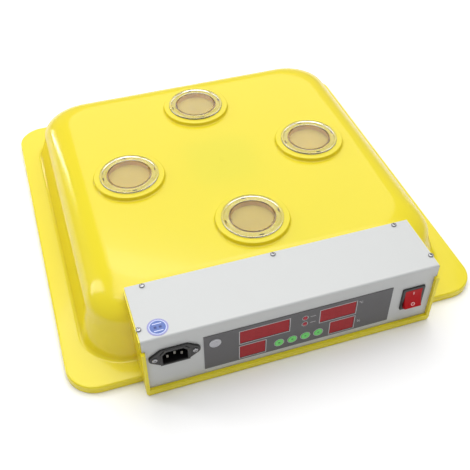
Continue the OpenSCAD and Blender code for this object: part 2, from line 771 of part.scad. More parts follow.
module fan_guard() {
    corner = fan_pitch / sqrt(2);
    color(steel) translate([0, dome_cy, guard_z]) {
        for (r = [10, 19, 28, 37]) wire_ring(r);
        for (a = [45:90:315]) rotate(a) {
            translate([10, 0, 0]) rotate([0, 90, 0]) cylinder(r = guard_wire_r, h = corner - 12.6, $fn = 16);
            translate([corner, 0, 0]) wire_ring(2.6);
        }
    }
}

module fan_screws() {
    head_z = guard_z - guard_wire_r - 0.1;
    color(steel) for (p = fan_screw_at) translate([p[0], p[1], head_z]) rotate([180, 0, 0])
        crossed_screw(3.4, 2, screw_r, ceiling_z - 2 - head_z);
}

// ---- heater and sensors ---------------------------------------------------------------

module heater_ring() {
    color([0.35, 0.30, 0.27]) translate([0, dome_cy, heater_z]) rotate(-90 + heater_gap)
        rotate_extrude(angle = 360 - 2 * heater_gap, $fn = 120)
            translate([heater_ring_r, 0]) circle(r = heater_tube_r, $fn = 32);
}

// Ceramic ends of the heater, one on each side of its gap
module heater_ends() {
    color([0.90, 0.88, 0.82]) for (s = [-1, 1])
        translate([0, dome_cy, heater_z]) rotate(-90 + s * heater_gap)
            translate([heater_ring_r, 0, 0]) rotate([s * 90, 0, 0])
                cylinder(r = heater_tube_r + 1.2, h = heater_end_len);
}

// Clip round a tube along Y at the origin, hung from a post that ends at height top
module hung_clip(r, top) {
    difference() {
        union() {
            translate([0, clip_w / 2, 0]) rotate([90, 0, 0]) cylinder(r = r + 1.3, h = clip_w);
            block([-3.2, -clip_w / 2, 0], [3.2, clip_w / 2, top]);
        }
        translate([0, clip_w, 0]) rotate([90, 0, 0]) cylinder(r = r + fit, h = 2 * clip_w);
    }
}

module heater_clips() {
    color(steel) for (a = clip_angles) translate([0, dome_cy, heater_z]) rotate(a)
        translate([heater_ring_r, 0, 0]) hung_clip(heater_tube_r, clip_top - heater_z);
}

module temperature_probe() {
    color(steel) {
        rod_y(probe_x, probe_z, probe_y - 18, probe_y + 20, probe_r);
        translate([probe_x, probe_y + 20, probe_z]) sphere(r = probe_r);
    }
}
module probe_clip() {
    color([0.90, 0.90, 0.88]) translate([probe_x, probe_y, probe_z]) hung_clip(probe_r, 6);
}

humidity_top = ceiling_z - 3;
module humidity_sensor() {
    z0 = humidity_top - 8;
    color([0.93, 0.93, 0.92]) translate([humidity_x, probe_y, 0]) difference() {
        block([-14, -6, z0], [14, 6, humidity_top]);
        for (x = [-8:4:8]) block([x - 0.9, -4, z0 - eps], [x + 0.9, 4, z0 + 5]);
    }
}

// ---- wiring held inside ---------------------------------------------------------------

module wire_grommet() {
    color([0.08, 0.08, 0.08]) difference() {
        union() {
            rod_y(grommet_x, grommet_z, grommet_y0, grommet_y1, grommet_r);
            rod_y(grommet_x, grommet_z, grommet_y0, grommet_y0 + 1.5, grommet_r + 1.5);
            rod_y(grommet_x, grommet_z, grommet_y1 - 1.5, grommet_y1, grommet_r + 1.5);
        }
        rod_y(grommet_x, grommet_z, grommet_y0 - eps, grommet_y1 + eps, grommet_r - 1.6);
    }
}

// Route of a lead: up out of the terminal block, along the wall and through the grommet.
// The leads on the grommet's far side (dx below zero) take the outer lane round the turn.
function through_grommet(x_block, dx, dz) =
    let (y_lane = grommet_y0 - (dx < 0 ? 9.5 : 6), z_lane = grommet_z + dz, gx = grommet_x + dx)
    [[x_block, pcb_y0 + 7, pcb_top + 4.2],
     [x_block, pcb_y0 + 7, pcb_top + 8],
     [x_block, pcb_y0 + 7, pcb_top + 11.5],
     [x_block - 4, pcb_y0 + 12, z_lane - 1],
     [x_block - 12, y_lane, z_lane],
     [grommet_x + 12, y_lane, z_lane],
     [gx + 3, y_lane + 1.5, z_lane],
     [gx, grommet_y0 - 3, z_lane],
     [gx, grommet_y0 - 1, z_lane],
     [gx, grommet_y1 + 1, z_lane],
     [gx, grommet_y1 + 3, z_lane]];

module fan_lead() {
    s = lead_off;
    x = grommet_x - s - 3;
    color([0.75, 0.10, 0.10]) tube(route(concat(through_grommet(56.5, -s, s), [
        [x + 1, grommet_y1 + 18, grommet_z + 14],
        [x, grommet_y1 + 40, ceiling_z - 6],
        [x, -90, ceiling_z - 5],
        [x, -50, ceiling_z - 7],
        [x, dome_cy - fan_w / 2 - 3, fan_z + fan_t - 9],
        [x, dome_cy - fan_w / 2 - 0.2, fan_z + fan_t - 10]])), lead_r, [1, 0, 0.15]);
}

// Each heater lead runs straight into the end of its ceramic
module heater_leads() {
    s = lead_off;
    end_a = heater_end_len + 0.2;
    end_x = heater_ring_r * sin(heater_gap) - end_a * cos(heater_gap);
    end_y = dome_cy - heater_ring_r * cos(heater_gap) - end_a * sin(heater_gap);
    color([0.85, 0.85, 0.80]) {
        tube(route(concat(through_grommet(66.5, s, -s), [
            [grommet_x + s - 2, grommet_y1 + 14, grommet_z + 2],
            [end_x + 3, end_y - 18, heater_z - 7],
            [end_x - 5, end_y - 9, heater_z - 1],
            [end_x - 5.5, end_y - 3, heater_z],
            [end_x - 2.5, end_y - 0.4, heater_z],
            [end_x, end_y, heater_z]])), lead_r, [0.2, 0.1, 1]);
        tube(route(concat(through_grommet(61.5, -s, -s), [
            [grommet_x - s - 5, grommet_y1 + 12, grommet_z],
            [2, end_y - 20, heater_z - 9],
            [-end_x + 4, end_y - 9, heater_z - 1],
            [-end_x + 5.5, end_y - 3, heater_z],
            [-end_x + 2.5, end_y - 0.4, heater_z],
            [-end_x, end_y, heater_z]])), lead_r, [0.2, 0.1, 1]);
    }
}

module sensor_leads() {
    s = lead_off;
    color([0.15, 0.15, 0.17]) tube(route(concat(through_grommet(71.5, s, s), [
        [grommet_x + s + 5, grommet_y1 + 9, grommet_z + 6],
        [probe_x - 5, probe_y - 33, probe_z - 5],
        [probe_x - 0.5, probe_y - 24, probe_z - 0.5],
        [probe_x, probe_y - 21, probe_z],
        [probe_x, probe_y - 18.2, probe_z]])), lead_r, [0.1, 0.3, 1]);
}

// Line goes to the fuse holder, neutral over the power board to the rocker switch
module mains_leads() {
    tab_y = inlet_back + blade_tail + 0.2;
    run_z = 64;
    color([0.45, 0.25, 0.10]) {
        tube(route([for (y = [0, 1.5, 3]) [inlet_x + 7, tab_y + y, inlet_z - 2],
            [inlet_x + 14, tab_y + 7, inlet_z - 12], [-90, tab_y + 2, pcb_top + 18],
            [-66, pcb_y0 + 14, pcb_top + 17], [-57.5, pcb_y0 + 12, pcb_top + 14],
            [-57.5, pcb_y0 + 12, pcb_top + 12], [-57.5, pcb_y0 + 12, pcb_top + 10.2]]),
            lead_r, [0.1, 0.2, 1]);
        tube(route([for (y = [0, 1.5, 3]) [inlet_x - 7, tab_y + y, inlet_z - 2],
            [inlet_x - 2, tab_y + 7, inlet_z + 6], [-90, tab_y + 12, run_z], [0, tab_y + 14, run_z + 1],
            [90, tab_y + 12, run_z], [switch_x - 4, tab_y + 9, switch_z + 8],
            [switch_x, face_y + 35, switch_z + 2], [switch_x, face_y + 32.5, switch_z],
            [switch_x, face_y + 30.2, switch_z]]), lead_r, [0.1, 0.2, 1]);
    }
}

cover_shell();
window_cap_front();
window_cap_left();
window_cap_back();
window_cap_right();
window_pane_front();
window_pane_left();
window_pane_back();
window_pane_right();
control_cover();
cover_screws();
panel_overlay();
panel_emblem();
round_label();
button_1();
button_2();
button_3();
button_4();
display_upper_left();
display_lower_left();
display_upper_right();
display_lower_right();
indicator_leds();
display_board();
tact_switches();
board_spacers();
board_screws();
inlet_body();
inlet_pins();
inlet_screws();
switch_housing();
switch_terminals();
switch_rocker();
power_board();
power_board_screws();
transformer();
relay();
capacitors();
terminal_block();
fuse_holder();
buzzer();
fan_frame();
fan_rotor();
fan_guard();
fan_screws();
heater_ring();
heater_ends();
heater_clips();
temperature_probe();
probe_clip();
humidity_sensor();
wire_grommet();
fan_lead();
heater_leads();
sensor_leads();
mains_leads();
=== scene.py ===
"""Looks of an egg incubator's cover unit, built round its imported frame, in metres."""

import json
import logging
import math
from dataclasses import dataclass, field
from enum import Enum
from typing import Callable, Sequence, Union

import bmesh
import bpy
from mathutils import Matrix, Vector


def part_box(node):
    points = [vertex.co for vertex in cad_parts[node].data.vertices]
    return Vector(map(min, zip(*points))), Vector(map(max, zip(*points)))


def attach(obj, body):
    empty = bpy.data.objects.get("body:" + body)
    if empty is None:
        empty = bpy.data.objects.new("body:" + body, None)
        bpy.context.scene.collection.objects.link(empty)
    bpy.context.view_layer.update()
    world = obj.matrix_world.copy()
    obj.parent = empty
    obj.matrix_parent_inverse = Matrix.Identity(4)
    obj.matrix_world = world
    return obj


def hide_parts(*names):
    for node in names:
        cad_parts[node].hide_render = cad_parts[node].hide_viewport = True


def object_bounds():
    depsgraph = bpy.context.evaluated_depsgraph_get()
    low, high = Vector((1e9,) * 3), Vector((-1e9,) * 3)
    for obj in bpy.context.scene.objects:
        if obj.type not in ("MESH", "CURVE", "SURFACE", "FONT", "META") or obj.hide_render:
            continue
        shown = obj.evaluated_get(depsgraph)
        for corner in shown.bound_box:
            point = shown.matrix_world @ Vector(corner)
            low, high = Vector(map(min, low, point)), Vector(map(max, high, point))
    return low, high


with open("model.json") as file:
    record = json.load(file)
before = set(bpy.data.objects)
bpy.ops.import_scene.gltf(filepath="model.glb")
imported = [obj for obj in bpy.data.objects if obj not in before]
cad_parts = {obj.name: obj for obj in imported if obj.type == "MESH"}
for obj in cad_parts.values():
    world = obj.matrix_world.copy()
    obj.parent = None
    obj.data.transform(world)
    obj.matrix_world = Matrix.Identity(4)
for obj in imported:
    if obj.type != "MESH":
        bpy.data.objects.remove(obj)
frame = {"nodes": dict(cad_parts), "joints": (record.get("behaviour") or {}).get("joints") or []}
CAD_BOX = [list(corner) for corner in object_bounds()]

MM = 0.001
WELD = 1e-6
SHARP = 32.0
ROOT = "root"
Colour = tuple[float, float, float]
Outline = list[tuple[float, float]]
HOLLOW = "hollow_side"
MADE: dict[str, bpy.types.Material] = {}
log = logging.getLogger("incubator")


# ---- shader maths ---------------------------------------------------------------------------------

def maths(operation: str, swapped: bool = False) -> Callable:
    """Makes a method of Sock that adds one Math node.

    Args:
        operation: the node's operation.
        swapped: True where the other value comes first, as in a reflected operator.

    Returns:
        The method.
    """
    def method(self: "Sock", other: "Value" = 0.0) -> "Sock":
        """One Math node on the two values."""
        first, second = (other, self) if swapped else (self, other)
        return self.graph.add("ShaderNodeMath", {"operation": operation}, {0: first, 1: second})
    return method


class Sock:
    """An output socket that takes part in Python sums, each of which adds a Math node."""

    def __init__(self, graph: "Graph", socket: bpy.types.NodeSocket) -> None:
        """Wraps a socket of a graph."""
        self.graph = graph
        self.socket = socket

    __add__ = __radd__ = maths("ADD")
    __sub__, __rsub__ = maths("SUBTRACT"), maths("SUBTRACT", True)
    __mul__ = __rmul__ = maths("MULTIPLY")
    __pow__, __abs__ = maths("POWER"), maths("ABSOLUTE")
    below, above, most = maths("LESS_THAN"), maths("GREATER_THAN"), maths("MAXIMUM")


Value = Union[Sock, float, int, tuple]


class Graph:
    """The node tree of one material."""

    def __init__(self, name: str) -> None:
        """Makes an empty material with an output node.

        Args:
            name: the material's name.
        """
        self.material = bpy.data.materials.new(name)
        self.material.use_nodes = True
        self.tree = self.material.node_tree
        self.tree.nodes.clear()
        self.output = self.tree.nodes.new("ShaderNodeOutputMaterial")

    def make(self, kind: str, settings: dict, values: dict) -> bpy.types.Node:
        """Adds a node, sets its options first and then its sockets.

        Args:
            kind: the node's type.
            settings: attribute names and values.
            values: socket names or numbers, with a plain value or a Sock for each.

        Returns:
            The node.
        """
        node = self.tree.nodes.new(kind)
        for key, value in settings.items():
            setattr(node, key, value)
        for key, value in values.items():
            if isinstance(value, Sock):
                self.tree.links.new(value.socket, node.inputs[key])
            else:
                node.inputs[key].default_value = value
        return node

    def add(self, kind: str, settings: dict, values: dict, output: Union[int, str] = 0) -> Sock:
        """Adds a node and returns one of its outputs.

        Args:
            kind: the node's type.
            settings: as in make.
            values: as in make.
            output: name or number of the output.

        Returns:
            That output as a Sock.
        """
        return Sock(self, self.make(kind, settings, values).outputs[output])

    def place(self, scale: tuple = (1.0, 1.0, 1.0), centre: Sequence[float] = (0.0, 0.0, 0.0)) -> Sock:
        """Object coordinates, moved so that centre is zero and then scaled.

        Args:
            scale: factor along each axis.
            centre: point in metres that becomes zero.

        Returns:
            The vector.
        """
        shift = tuple(-c * s for c, s in zip(centre, scale))
        coords = self.add("ShaderNodeTexCoord", {}, {}, "Object")
        return self.add("ShaderNodeMapping", {}, {"Vector": coords, "Location": shift, "Scale": scale})

    def noise(self, size: float, detail: float = 3.0, stretch: tuple = (1.0, 1.0, 1.0)) -> Sock:
        """Noise between 0 and 1 on Object coordinates.

        Args:
            size: size of the spots in metres.
            detail: levels of finer noise.
            stretch: factor along each axis, for streaks.

        Returns:
            The noise value.
        """
        where = self.place(stretch)
        return self.add("ShaderNodeTexNoise", {}, {"Vector": where, "Scale": 1.0 / size, "Detail": detail})

    def blend(self, factor: Value, first: Value, second: Value) -> Sock:
        """Mixes two colours.

        Args:
            factor: 0 gives the first, 1 the second.
            first: colour or Sock.
            second: colour or Sock.

        Returns:
            The colour.
        """
        colours = {6: first, 7: second}
        for key, value in colours.items():
            if isinstance(value, tuple):
                colours[key] = (*value[:3], 1.0)
        return self.add("ShaderNodeMix", {"data_type": "RGBA"}, {0: factor, **colours}, 2)

    def bump(self, height: Sock, depth: float) -> Sock:
        """Normal of a surface raised by height times depth in metres."""
        return self.add("ShaderNodeBump", {}, {"Height": height, "Distance": depth, "Strength": 1.0})

    def surface(self, values: dict) -> Sock:
        """A Principled shader with the given sockets."""
        return self.add("ShaderNodeBsdfPrincipled", {}, values)

    def finish(self, shader: Sock) -> bpy.types.Material:
        """Links the shader to the output and returns the material."""
        self.tree.links.new(shader.socket, self.output.inputs["Surface"])
        return self.material


# ---- finishes -------------------------------------------------------------------------------------

class Grain(Enum):
    """How the fine texture of a surface runs."""

    EVEN = (1.0, 1.0, 1.0)
    ALONG_X = (0.04, 1.0, 1.0)


def shaded(colour: Colour, factor: float) -> Colour:
    """A colour made lighter or darker by a factor."""
    return tuple(min(1.0, c * factor) for c in colour)


@dataclass(frozen=True)
class Finish:
    """A surface with spots of slightly different shade, uneven gloss and a fine grain.

    Lengths are in metres.
    """

    name: str
    colour: Colour
    roughness: float
    metallic: float = 0.0
    shade: float = 0.05
    patch: float = 0.03
    gloss_spread: float = 0.08
    grain: Grain = Grain.EVEN
    grain_size: float = 0.0008
    grain_depth: float = 0.00002
    coat: float = 0.0
    transmission: float = 0.0
    ior: float = 1.5
    specular: float = 0.5

    def base(self, graph: Graph) -> Value:
        """Colour over the surface."""
        spots = graph.noise(self.patch, 4.0)
        return graph.blend(spots, shaded(self.colour, 1 - self.shade), shaded(self.colour, 1 + self.shade))

    def sockets(self, graph: Graph) -> dict:
        """Values and links of the Principled shader's sockets."""
        fine = graph.noise(self.grain_size, 2.0, self.grain.value)
        rubbed = graph.noise(self.patch * 0.4, 5.0, self.grain.value)
        return {
            "Base Color": self.base(graph),
            "Roughness": self.roughness + (rubbed - 0.5) * self.gloss_spread,
            "Metallic": self.metallic,
            "Normal": graph.bump(fine, self.grain_depth),
            "Coat Weight": self.coat,
            "Transmission Weight": self.transmission,
            "IOR": self.ior,
            "Specular IOR Level": self.specular,
        }

    def build(self, graph: Graph) -> Sock:
        """The shader."""
        return graph.surface(self.sockets(graph))

    def material(self) -> bpy.types.Material:
        """The material of this finish, made once and kept apart from the frame's own by its name."""
        if self.name not in MADE:
            graph = Graph(f"finish_{self.name}")
            MADE[self.name] = graph.finish(self.build(graph))
        return MADE[self.name]


@dataclass(frozen=True)
class MouldedShell(Finish):
    """Glossy thin-walled plastic that lets some light through its wall."""

    through: float = 0.25
    inner_through: float = 0.93
    glow: Colour = (1.0, 0.78, 0.17)

    def build(self, graph: Graph) -> Sock:
        """Gloss on the outside, mixed with light that comes through the wall into the hollow."""
        surface = graph.surface(self.sockets(graph))
        light = graph.add("ShaderNodeBsdfTranslucent", {}, {"Color": (*self.glow, 1.0)})
        hollow = graph.add("ShaderNodeAttribute", {"attribute_name": HOLLOW}, {}, "Fac")
        share = self.through + hollow * (self.inner_through - self.through)
        return graph.add("ShaderNodeMixShader", {}, {0: share, 1: surface, 2: light})


@dataclass(frozen=True)
class RoundPrint(Finish):
    """Printed round sticker: a pale rim, a fine ring and a blue field with plain bars."""

    centre: tuple[float, float, float] = (0.0, 0.0, 0.0)
    radius: float = 0.0088
    rim: Colour = (0.30, 0.30, 0.58)
    bar: Colour = (0.55, 0.60, 0.82)
    core: Colour = (0.02, 0.04, 0.20)

    def base(self, graph: Graph) -> Value:
        """Rings and bars, from the distance to the middle."""
        unit = 1.0 / self.radius
        split = graph.make("ShaderNodeSeparateXYZ", {}, {0: graph.place((unit, unit, unit), self.centre)})
        x = Sock(graph, split.outputs[0])
        y = Sock(graph, split.outputs[1])
        away = (x * x + y * y) ** 0.5
        in_rim = away.above(0.86)
        ring = abs(away - 0.80).below(0.045)
        bars = abs(abs(y) - 0.42).below(0.05) * abs(x).below(0.44)
        dots = abs(y).below(0.13) * abs(abs(x) - 0.24).below(0.13)
        field_colour = graph.blend(graph.noise(0.002), shaded(self.colour, 0.8), shaded(self.colour, 1.3))
        marked = graph.blend(ring.most(bars), field_colour, self.bar)
        return graph.blend(in_rim, graph.blend(dots, marked, self.core), self.rim)


YELLOW = MouldedShell("moulded_yellow", (0.92, 0.82, 0.026), 0.17, shade=0.015, patch=0.09,
                      gloss_spread=0.05, grain_size=0.004, grain_depth=0.000012, coat=0.25)
CLEAR = Finish("clear_plastic", (0.99, 0.98, 0.95), 0.04, shade=0.005, gloss_spread=0.03,
               transmission=1.0, ior=1.46, specular=0.3)
# Window panes: the yellow, partly diffuse colour is painted light. It stands in for the yellow light that
# fills the dome and is seen through the clear panes.
PANE = Finish("pane_painted_yellow_light", (1.0, 0.80, 0.13), 0.12, shade=0.01, gloss_spread=0.04,
              transmission=0.40, ior=1.46, specular=0.1)
POWDER = Finish("grey_powder_coat", (0.55, 0.56, 0.555), 0.34, shade=0.015, gloss_spread=0.06,
                grain_size=0.0009, grain_depth=0.000025)
ZINC = Finish("bright_zinc", (0.34, 0.34, 0.35), 0.24, metallic=1.0, patch=0.004, shade=0.12)
OVERLAY = Finish("printed_film", (0.095, 0.093, 0.098), 0.42, patch=0.02, grain_size=0.0005)
PRINT = Finish("pale_print", (0.52, 0.50, 0.51), 0.5, patch=0.01)
SILVER = Finish("brushed_silver", (0.46, 0.46, 0.49), 0.34, metallic=0.5, grain=Grain.ALONG_X)
DISPLAY = Finish("red_filter", (0.36, 0.026, 0.032), 0.45, patch=0.02, shade=0.04,
                 grain_depth=0.000004, specular=0.15)
SEGMENT = Finish("unlit_segment", (0.325, 0.025, 0.031), 0.45, patch=0.01, specular=0.15)
LAMP = Finish("red_lamp", (0.42, 0.02, 0.04), 0.12, patch=0.003, coat=0.5)
KEY_GREEN = Finish("green_key", (0.15, 0.66, 0.14), 0.38, patch=0.006, shade=0.08)
KEY_MARK = Finish("key_mark", (0.05, 0.33, 0.06), 0.4, patch=0.004)
BLACK = Finish("black_nylon", (0.012, 0.011, 0.011), 0.30, patch=0.012, shade=0.2, grain_depth=0.00003)
ROCKER = Finish("red_rocker", (0.46, 0.004, 0.008), 0.42, patch=0.01, shade=0.07,
                grain_depth=0.000006, specular=0.12)
ROCKER_MARK = Finish("rocker_mark", (0.78, 0.42, 0.42), 0.4, patch=0.004)
# Blades: the metal colour is darkened to paint the shade inside the inlet's socket, so it is painted shade
# and not the tin's own colour.
BLADE = Finish("tinned_blade_painted_shade", (0.20, 0.19, 0.17), 0.30, metallic=1.0, patch=0.004)
BOARD = Finish("solder_mask", (0.02, 0.17, 0.08), 0.35, patch=0.01, shade=0.25)
LAMINATE = Finish("paper_laminate", (0.50, 0.33, 0.11), 0.6, patch=0.01, shade=0.12)
NYLON = Finish("natural_nylon", (0.80, 0.80, 0.75), 0.5, patch=0.01)
CORE = Finish("varnished_core", (0.12, 0.11, 0.10), 0.45, patch=0.006, grain=Grain.ALONG_X, shade=0.3)
RELAY = Finish("relay_case", (0.03, 0.10, 0.42), 0.25, patch=0.01)
SLEEVE = Finish("capacitor_sleeve", (0.02, 0.03, 0.09), 0.3, patch=0.006)
TERMINAL = Finish("terminal_moulding", (0.03, 0.30, 0.11), 0.45, patch=0.008)
FAN_BLACK = Finish("fan_moulding", (0.022, 0.022, 0.024), 0.5, patch=0.012, shade=0.2)
SHEATH = Finish("heater_sheath", (0.22, 0.16, 0.12), 0.4, metallic=0.9, patch=0.015, shade=0.3)
CERAMIC = Finish("ceramic", (0.80, 0.77, 0.69), 0.75, patch=0.006, grain_depth=0.00006)
STEEL = Finish("polished_steel", (0.66, 0.66, 0.67), 0.28, metallic=1.0, patch=0.008)
RUBBER = Finish("black_rubber", (0.020, 0.020, 0.020), 0.75, patch=0.008, grain_depth=0.00005)
RED_PVC = Finish("red_pvc", (0.48, 0.03, 0.03), 0.45, patch=0.01)
SILICONE = Finish("white_silicone", (0.76, 0.76, 0.70), 0.55, patch=0.01)
BLACK_PVC = Finish("black_pvc", (0.03, 0.03, 0.034), 0.45, patch=0.01)
BROWN_PVC = Finish("brown_pvc", (0.20, 0.085, 0.03), 0.45, patch=0.01)
FLOOR = Finish("pale_floor", (0.95, 0.95, 0.95), 0.7, shade=0.002, patch=0.4)


# ---- mesh making ----------------------------------------------------------------------------------

def arc(centre: tuple[float, float], radius: float, start: float, end: float, steps: int) -> Outline:
    """Points on an arc, ends included, from angle start to end in degrees."""
    turns = [math.radians(start + (end - start) * i / steps) for i in range(steps + 1)]
    return [(centre[0] + radius * math.cos(a), centre[1] + radius * math.sin(a)) for a in turns]


def fillet(first: tuple, corner: tuple, last: tuple, steps: int = 5) -> Outline:
    """Smooth curve from first to last that would meet at corner, without its two ends."""
    curve = []
    for i in range(1, steps):
        t = i / steps
        weights = ((1 - t) ** 2, 2 * t * (1 - t), t * t)
        curve.append(tuple(sum(w * p[k] for w, p in zip(weights, (first, corner, last))) for k in (0, 1)))
    return curve


def round_outline(x0: float, x1: float, y0: float, y1: float, radius: float, steps: int = 8) -> Outline:
    """Rectangle with round corners, anticlockwise."""
    r = max(radius, 0.01)
    corners = (((x1 - r, y0 + r), -90), ((x1 - r, y1 - r), 0),
               ((x0 + r, y1 - r), 90), ((x0 + r, y0 + r), 180))
    return [p for centre, start in corners for p in arc(centre, r, start, start + 90, steps)]


class Solid:
    """A mesh in the making, in millimetres."""

    def __init__(self) -> None:
        """Starts empty."""
        self.points: list[Vector] = []
        self.faces: list[list[int]] = []

    def stack(self, rings: Sequence[Sequence[Sequence[float]]], loop: bool = False) -> "Solid":
        """Joins rings with the same number of points.

        Args:
            rings: each ring's points, anticlockwise seen from where the rings go.
            loop: True joins the last ring to the first, and False closes both ends.

        Returns:
            This solid.
        """
        start, count = len(self.points), len(rings[0])
        self.points += [Vector(p) for ring in rings for p in ring]
        for k in range(len(rings) if loop else len(rings) - 1):
            low, high = start + k * count, start + (k + 1) % len(rings) * count
            for i in range(count):
                j = (i + 1) % count
                self.faces.append([low + i, low + j, high + j, high + i])
        if not loop:
            top = start + (len(rings) - 1) * count
            self.faces.append([start + i for i in reversed(range(count))])
            self.faces.append([top + i for i in range(count)])
        return self

    def lathe(self, profile: Outline, centre: Sequence[float], steps: int = 96, loop: bool = False,
              forward: bool = False) -> "Solid":
        """Turns a profile of radius and height round an axis.

        Args:
            profile: points with the outside on the right going up; with loop, a closed section.
            centre: where radius and height are zero.
            steps: flats round the axis.
            loop: the profile is a closed section that stays off the axis.
            forward: the axis points to -Y instead of +Z.

        Returns:
            This solid.
        """
        rings = []
        for radius, height in profile:
            ring = []
            for i in range(steps):
                a = 2 * math.pi * i / steps
                x, y = max(radius, 0.001) * math.cos(a), max(radius, 0.001) * math.sin(a)
                local = (x, -height, y) if forward else (x, y, height)
                ring.append([c + v for c, v in zip(centre, local)])
            rings.append(ring)
        return self.stack(rings, loop)

    def plates(self, outlines: Sequence[Outline], depths: Sequence[float]) -> "Solid":
        """Closed solid through outlines in X and Z, each at its own Y, from back to front."""
        return self.stack([[(x, y, z) for x, z in outline] for outline, y in zip(outlines, depths)])

    def across(self, section: Outline, x0: float, x1: float) -> "Solid":
        """Section in Y and Z, anticlockwise, extruded along X."""
        return self.stack([[(x, y, z) for y, z in section] for x in (x0, x1)])

    def box(self, low: Sequence[float], high: Sequence[float]) -> "Solid":
        """Box from corner to corner."""
        outline = round_outline(low[0], high[0], low[1], high[1], 0.0, 1)
        return self.stack([[(x, y, z) for x, y in outline] for z in (low[2], high[2])])

    def mesh(self, name: str) -> bpy.types.Object:
        """The object, at the origin, in metres, with outward faces."""
        return tidy_mesh(new_object(name, self.points, self.faces))


def new_object(name: str, points: Sequence[Sequence[float]] = (),
               faces: Sequence[Sequence[int]] = ()) -> bpy.types.Object:
    """New mesh object in the scene, from points in millimetres."""
    data = bpy.data.meshes.new(name)
    data.from_pydata([Vector(p) * MM for p in points], [], faces)
    obj = bpy.data.objects.new(name, data)
    bpy.context.scene.collection.objects.link(obj)
    return obj


def tidy_mesh(obj: bpy.types.Object) -> bpy.types.Object:
    """Merges doubled points and turns faces outwards."""
    work = bmesh.new()
    work.from_mesh(obj.data)
    bmesh.ops.remove_doubles(work, verts=work.verts, dist=WELD)
    bmesh.ops.recalc_face_normals(work, faces=work.faces)
    work.to_mesh(obj.data)
    work.free()
    return obj


def settle(obj: bpy.types.Object) -> bpy.types.Object:
    """Turns the object's modifiers into its plain mesh."""
    graph = bpy.context.evaluated_depsgraph_get()
    data = bpy.data.meshes.new_from_object(obj.evaluated_get(graph))
    obj.modifiers.clear()
    obj.data = data
    return obj


def combine(target: bpy.types.Object, tool: bpy.types.Object, operation: str) -> bpy.types.Object:
    """Joins, cuts or intersects target with tool, and removes tool."""
    modifier = target.modifiers.new("combine", "BOOLEAN")
    modifier.operation = operation
    modifier.solver = "EXACT"
    modifier.object = tool
    settle(target)
    bpy.data.objects.remove(tool)
    return target


def smooth(obj: bpy.types.Object) -> bpy.types.Object:
    """Smooth shading up to the sharp angle in degrees, led by the larger faces."""
    for polygon in obj.data.polygons:
        polygon.use_smooth = True
    obj.data.set_sharp_from_angle(angle=math.radians(SHARP))
    modifier = obj.modifiers.new("weigh", "WEIGHTED_NORMAL")
    modifier.keep_sharp = True
    modifier.weight = 100
    return settle(obj)


def dress(obj: bpy.types.Object, finish: Finish, body: str = ROOT,
          nodes: Sequence[str] = (), shade: bool = True) -> bpy.types.Object:
    """Gives a piece its finish, body and the nodes it stands for.

    Args:
        obj: the piece.
        finish: its finish.
        body: the body it rides on.
        nodes: CAD nodes that it replaces.
        shade: whether to smooth its shading.

    Returns:
        The piece.
    """
    obj.data.materials.clear()
    obj.data.materials.append(finish.material())
    if shade:
        smooth(obj)
    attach(obj, body)
    if nodes:
        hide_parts(*nodes)
    log.info("%s: %d faces, rides on %s", obj.name, len(obj.data.polygons), body)
    return obj


def span(node: str) -> tuple[Vector, Vector]:
    """Lowest and highest corner of a node, in millimetres."""
    low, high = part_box(node)
    return low / MM, high / MM


def middle(node: str) -> Vector:
    """Middle of a node's box, in millimetres."""
    low, high = span(node)
    return (low + high) / 2


def four_boxes(solid: Solid, spot: Vector, radii: tuple[float, float], half: float,
               heights: tuple[float, float]) -> Solid:
    """Adds a box on each of the four sides of an upright axis.

    Args:
        solid: what they are added to.
        spot: a point on the axis.
        radii: nearest and farthest distance from the axis.
        half: half of a box's width.
        heights: bottom and top.

    Returns:
        The solid.
    """
    for c, s in ((1, 0), (0, 1), (-1, 0), (0, -1)):
        (x0, x1), (y0, y1) = (sorted(axis * r for r in radii) if axis else (-half, half) for axis in (c, s))
        solid.box((spot.x + x0, spot.y + y0, heights[0]), (spot.x + x1, spot.y + y1, heights[1]))
    return solid


# ---- repeated pieces by Geometry Nodes ------------------------------------------------------------

class Tool:
    """A Geometry Nodes tree with named inputs that ends in real geometry with one finish."""

    def __init__(self, name: str, inputs: dict[str, str], nodes: dict[str, str],
                 wires: Sequence[str]) -> None:
        """Builds the tree.

        Args:
            name: the tree's name.
            inputs: kind of each input socket, by name; Finish is added.
            nodes: kind of each node, by a short name; given, solid, paint and result are added.
            wires: links, each written "node.output > node.input"; one has to reach solid.Geometry.
        """
        self.tree = bpy.data.node_groups.new(name, "GeometryNodeTree")
        face = self.tree.interface
        for label, kind in {**inputs, "Finish": "Material"}.items():
            face.new_socket(label, in_out="INPUT", socket_type=f"NodeSocket{kind}")
        face.new_socket("Mesh", in_out="OUTPUT", socket_type="NodeSocketGeometry")
        kinds = {"given": "NodeGroupInput", "result": "NodeGroupOutput", **nodes,
                 "solid": "GeometryNodeRealizeInstances", "paint": "GeometryNodeSetMaterial"}
        self.nodes = {key: self.tree.nodes.new(kind) for key, kind in kinds.items()}
        for wire in (*wires, "solid.Geometry > paint.Geometry", "given.Finish > paint.Material",
                     "paint.Geometry > result.Mesh"):
            (source, out), (target, into) = (end.split(".") for end in wire.split(" > "))
            self.tree.links.new(self.nodes[source].outputs[out], self.nodes[target].inputs[into])
        self.names = {item.name: item.identifier for item in face.items_tree if item.in_out == "INPUT"}

    def run(self, obj: bpy.types.Object, values: dict) -> bpy.types.Object:
        """Runs the tree on an object, with the given inputs, and keeps the plain mesh."""
        modifier = obj.modifiers.new("tool", "NODES")
        modifier.node_group = self.tree
        for key, value in values.items():
            modifier[self.names[key]] = value
        return settle(obj)


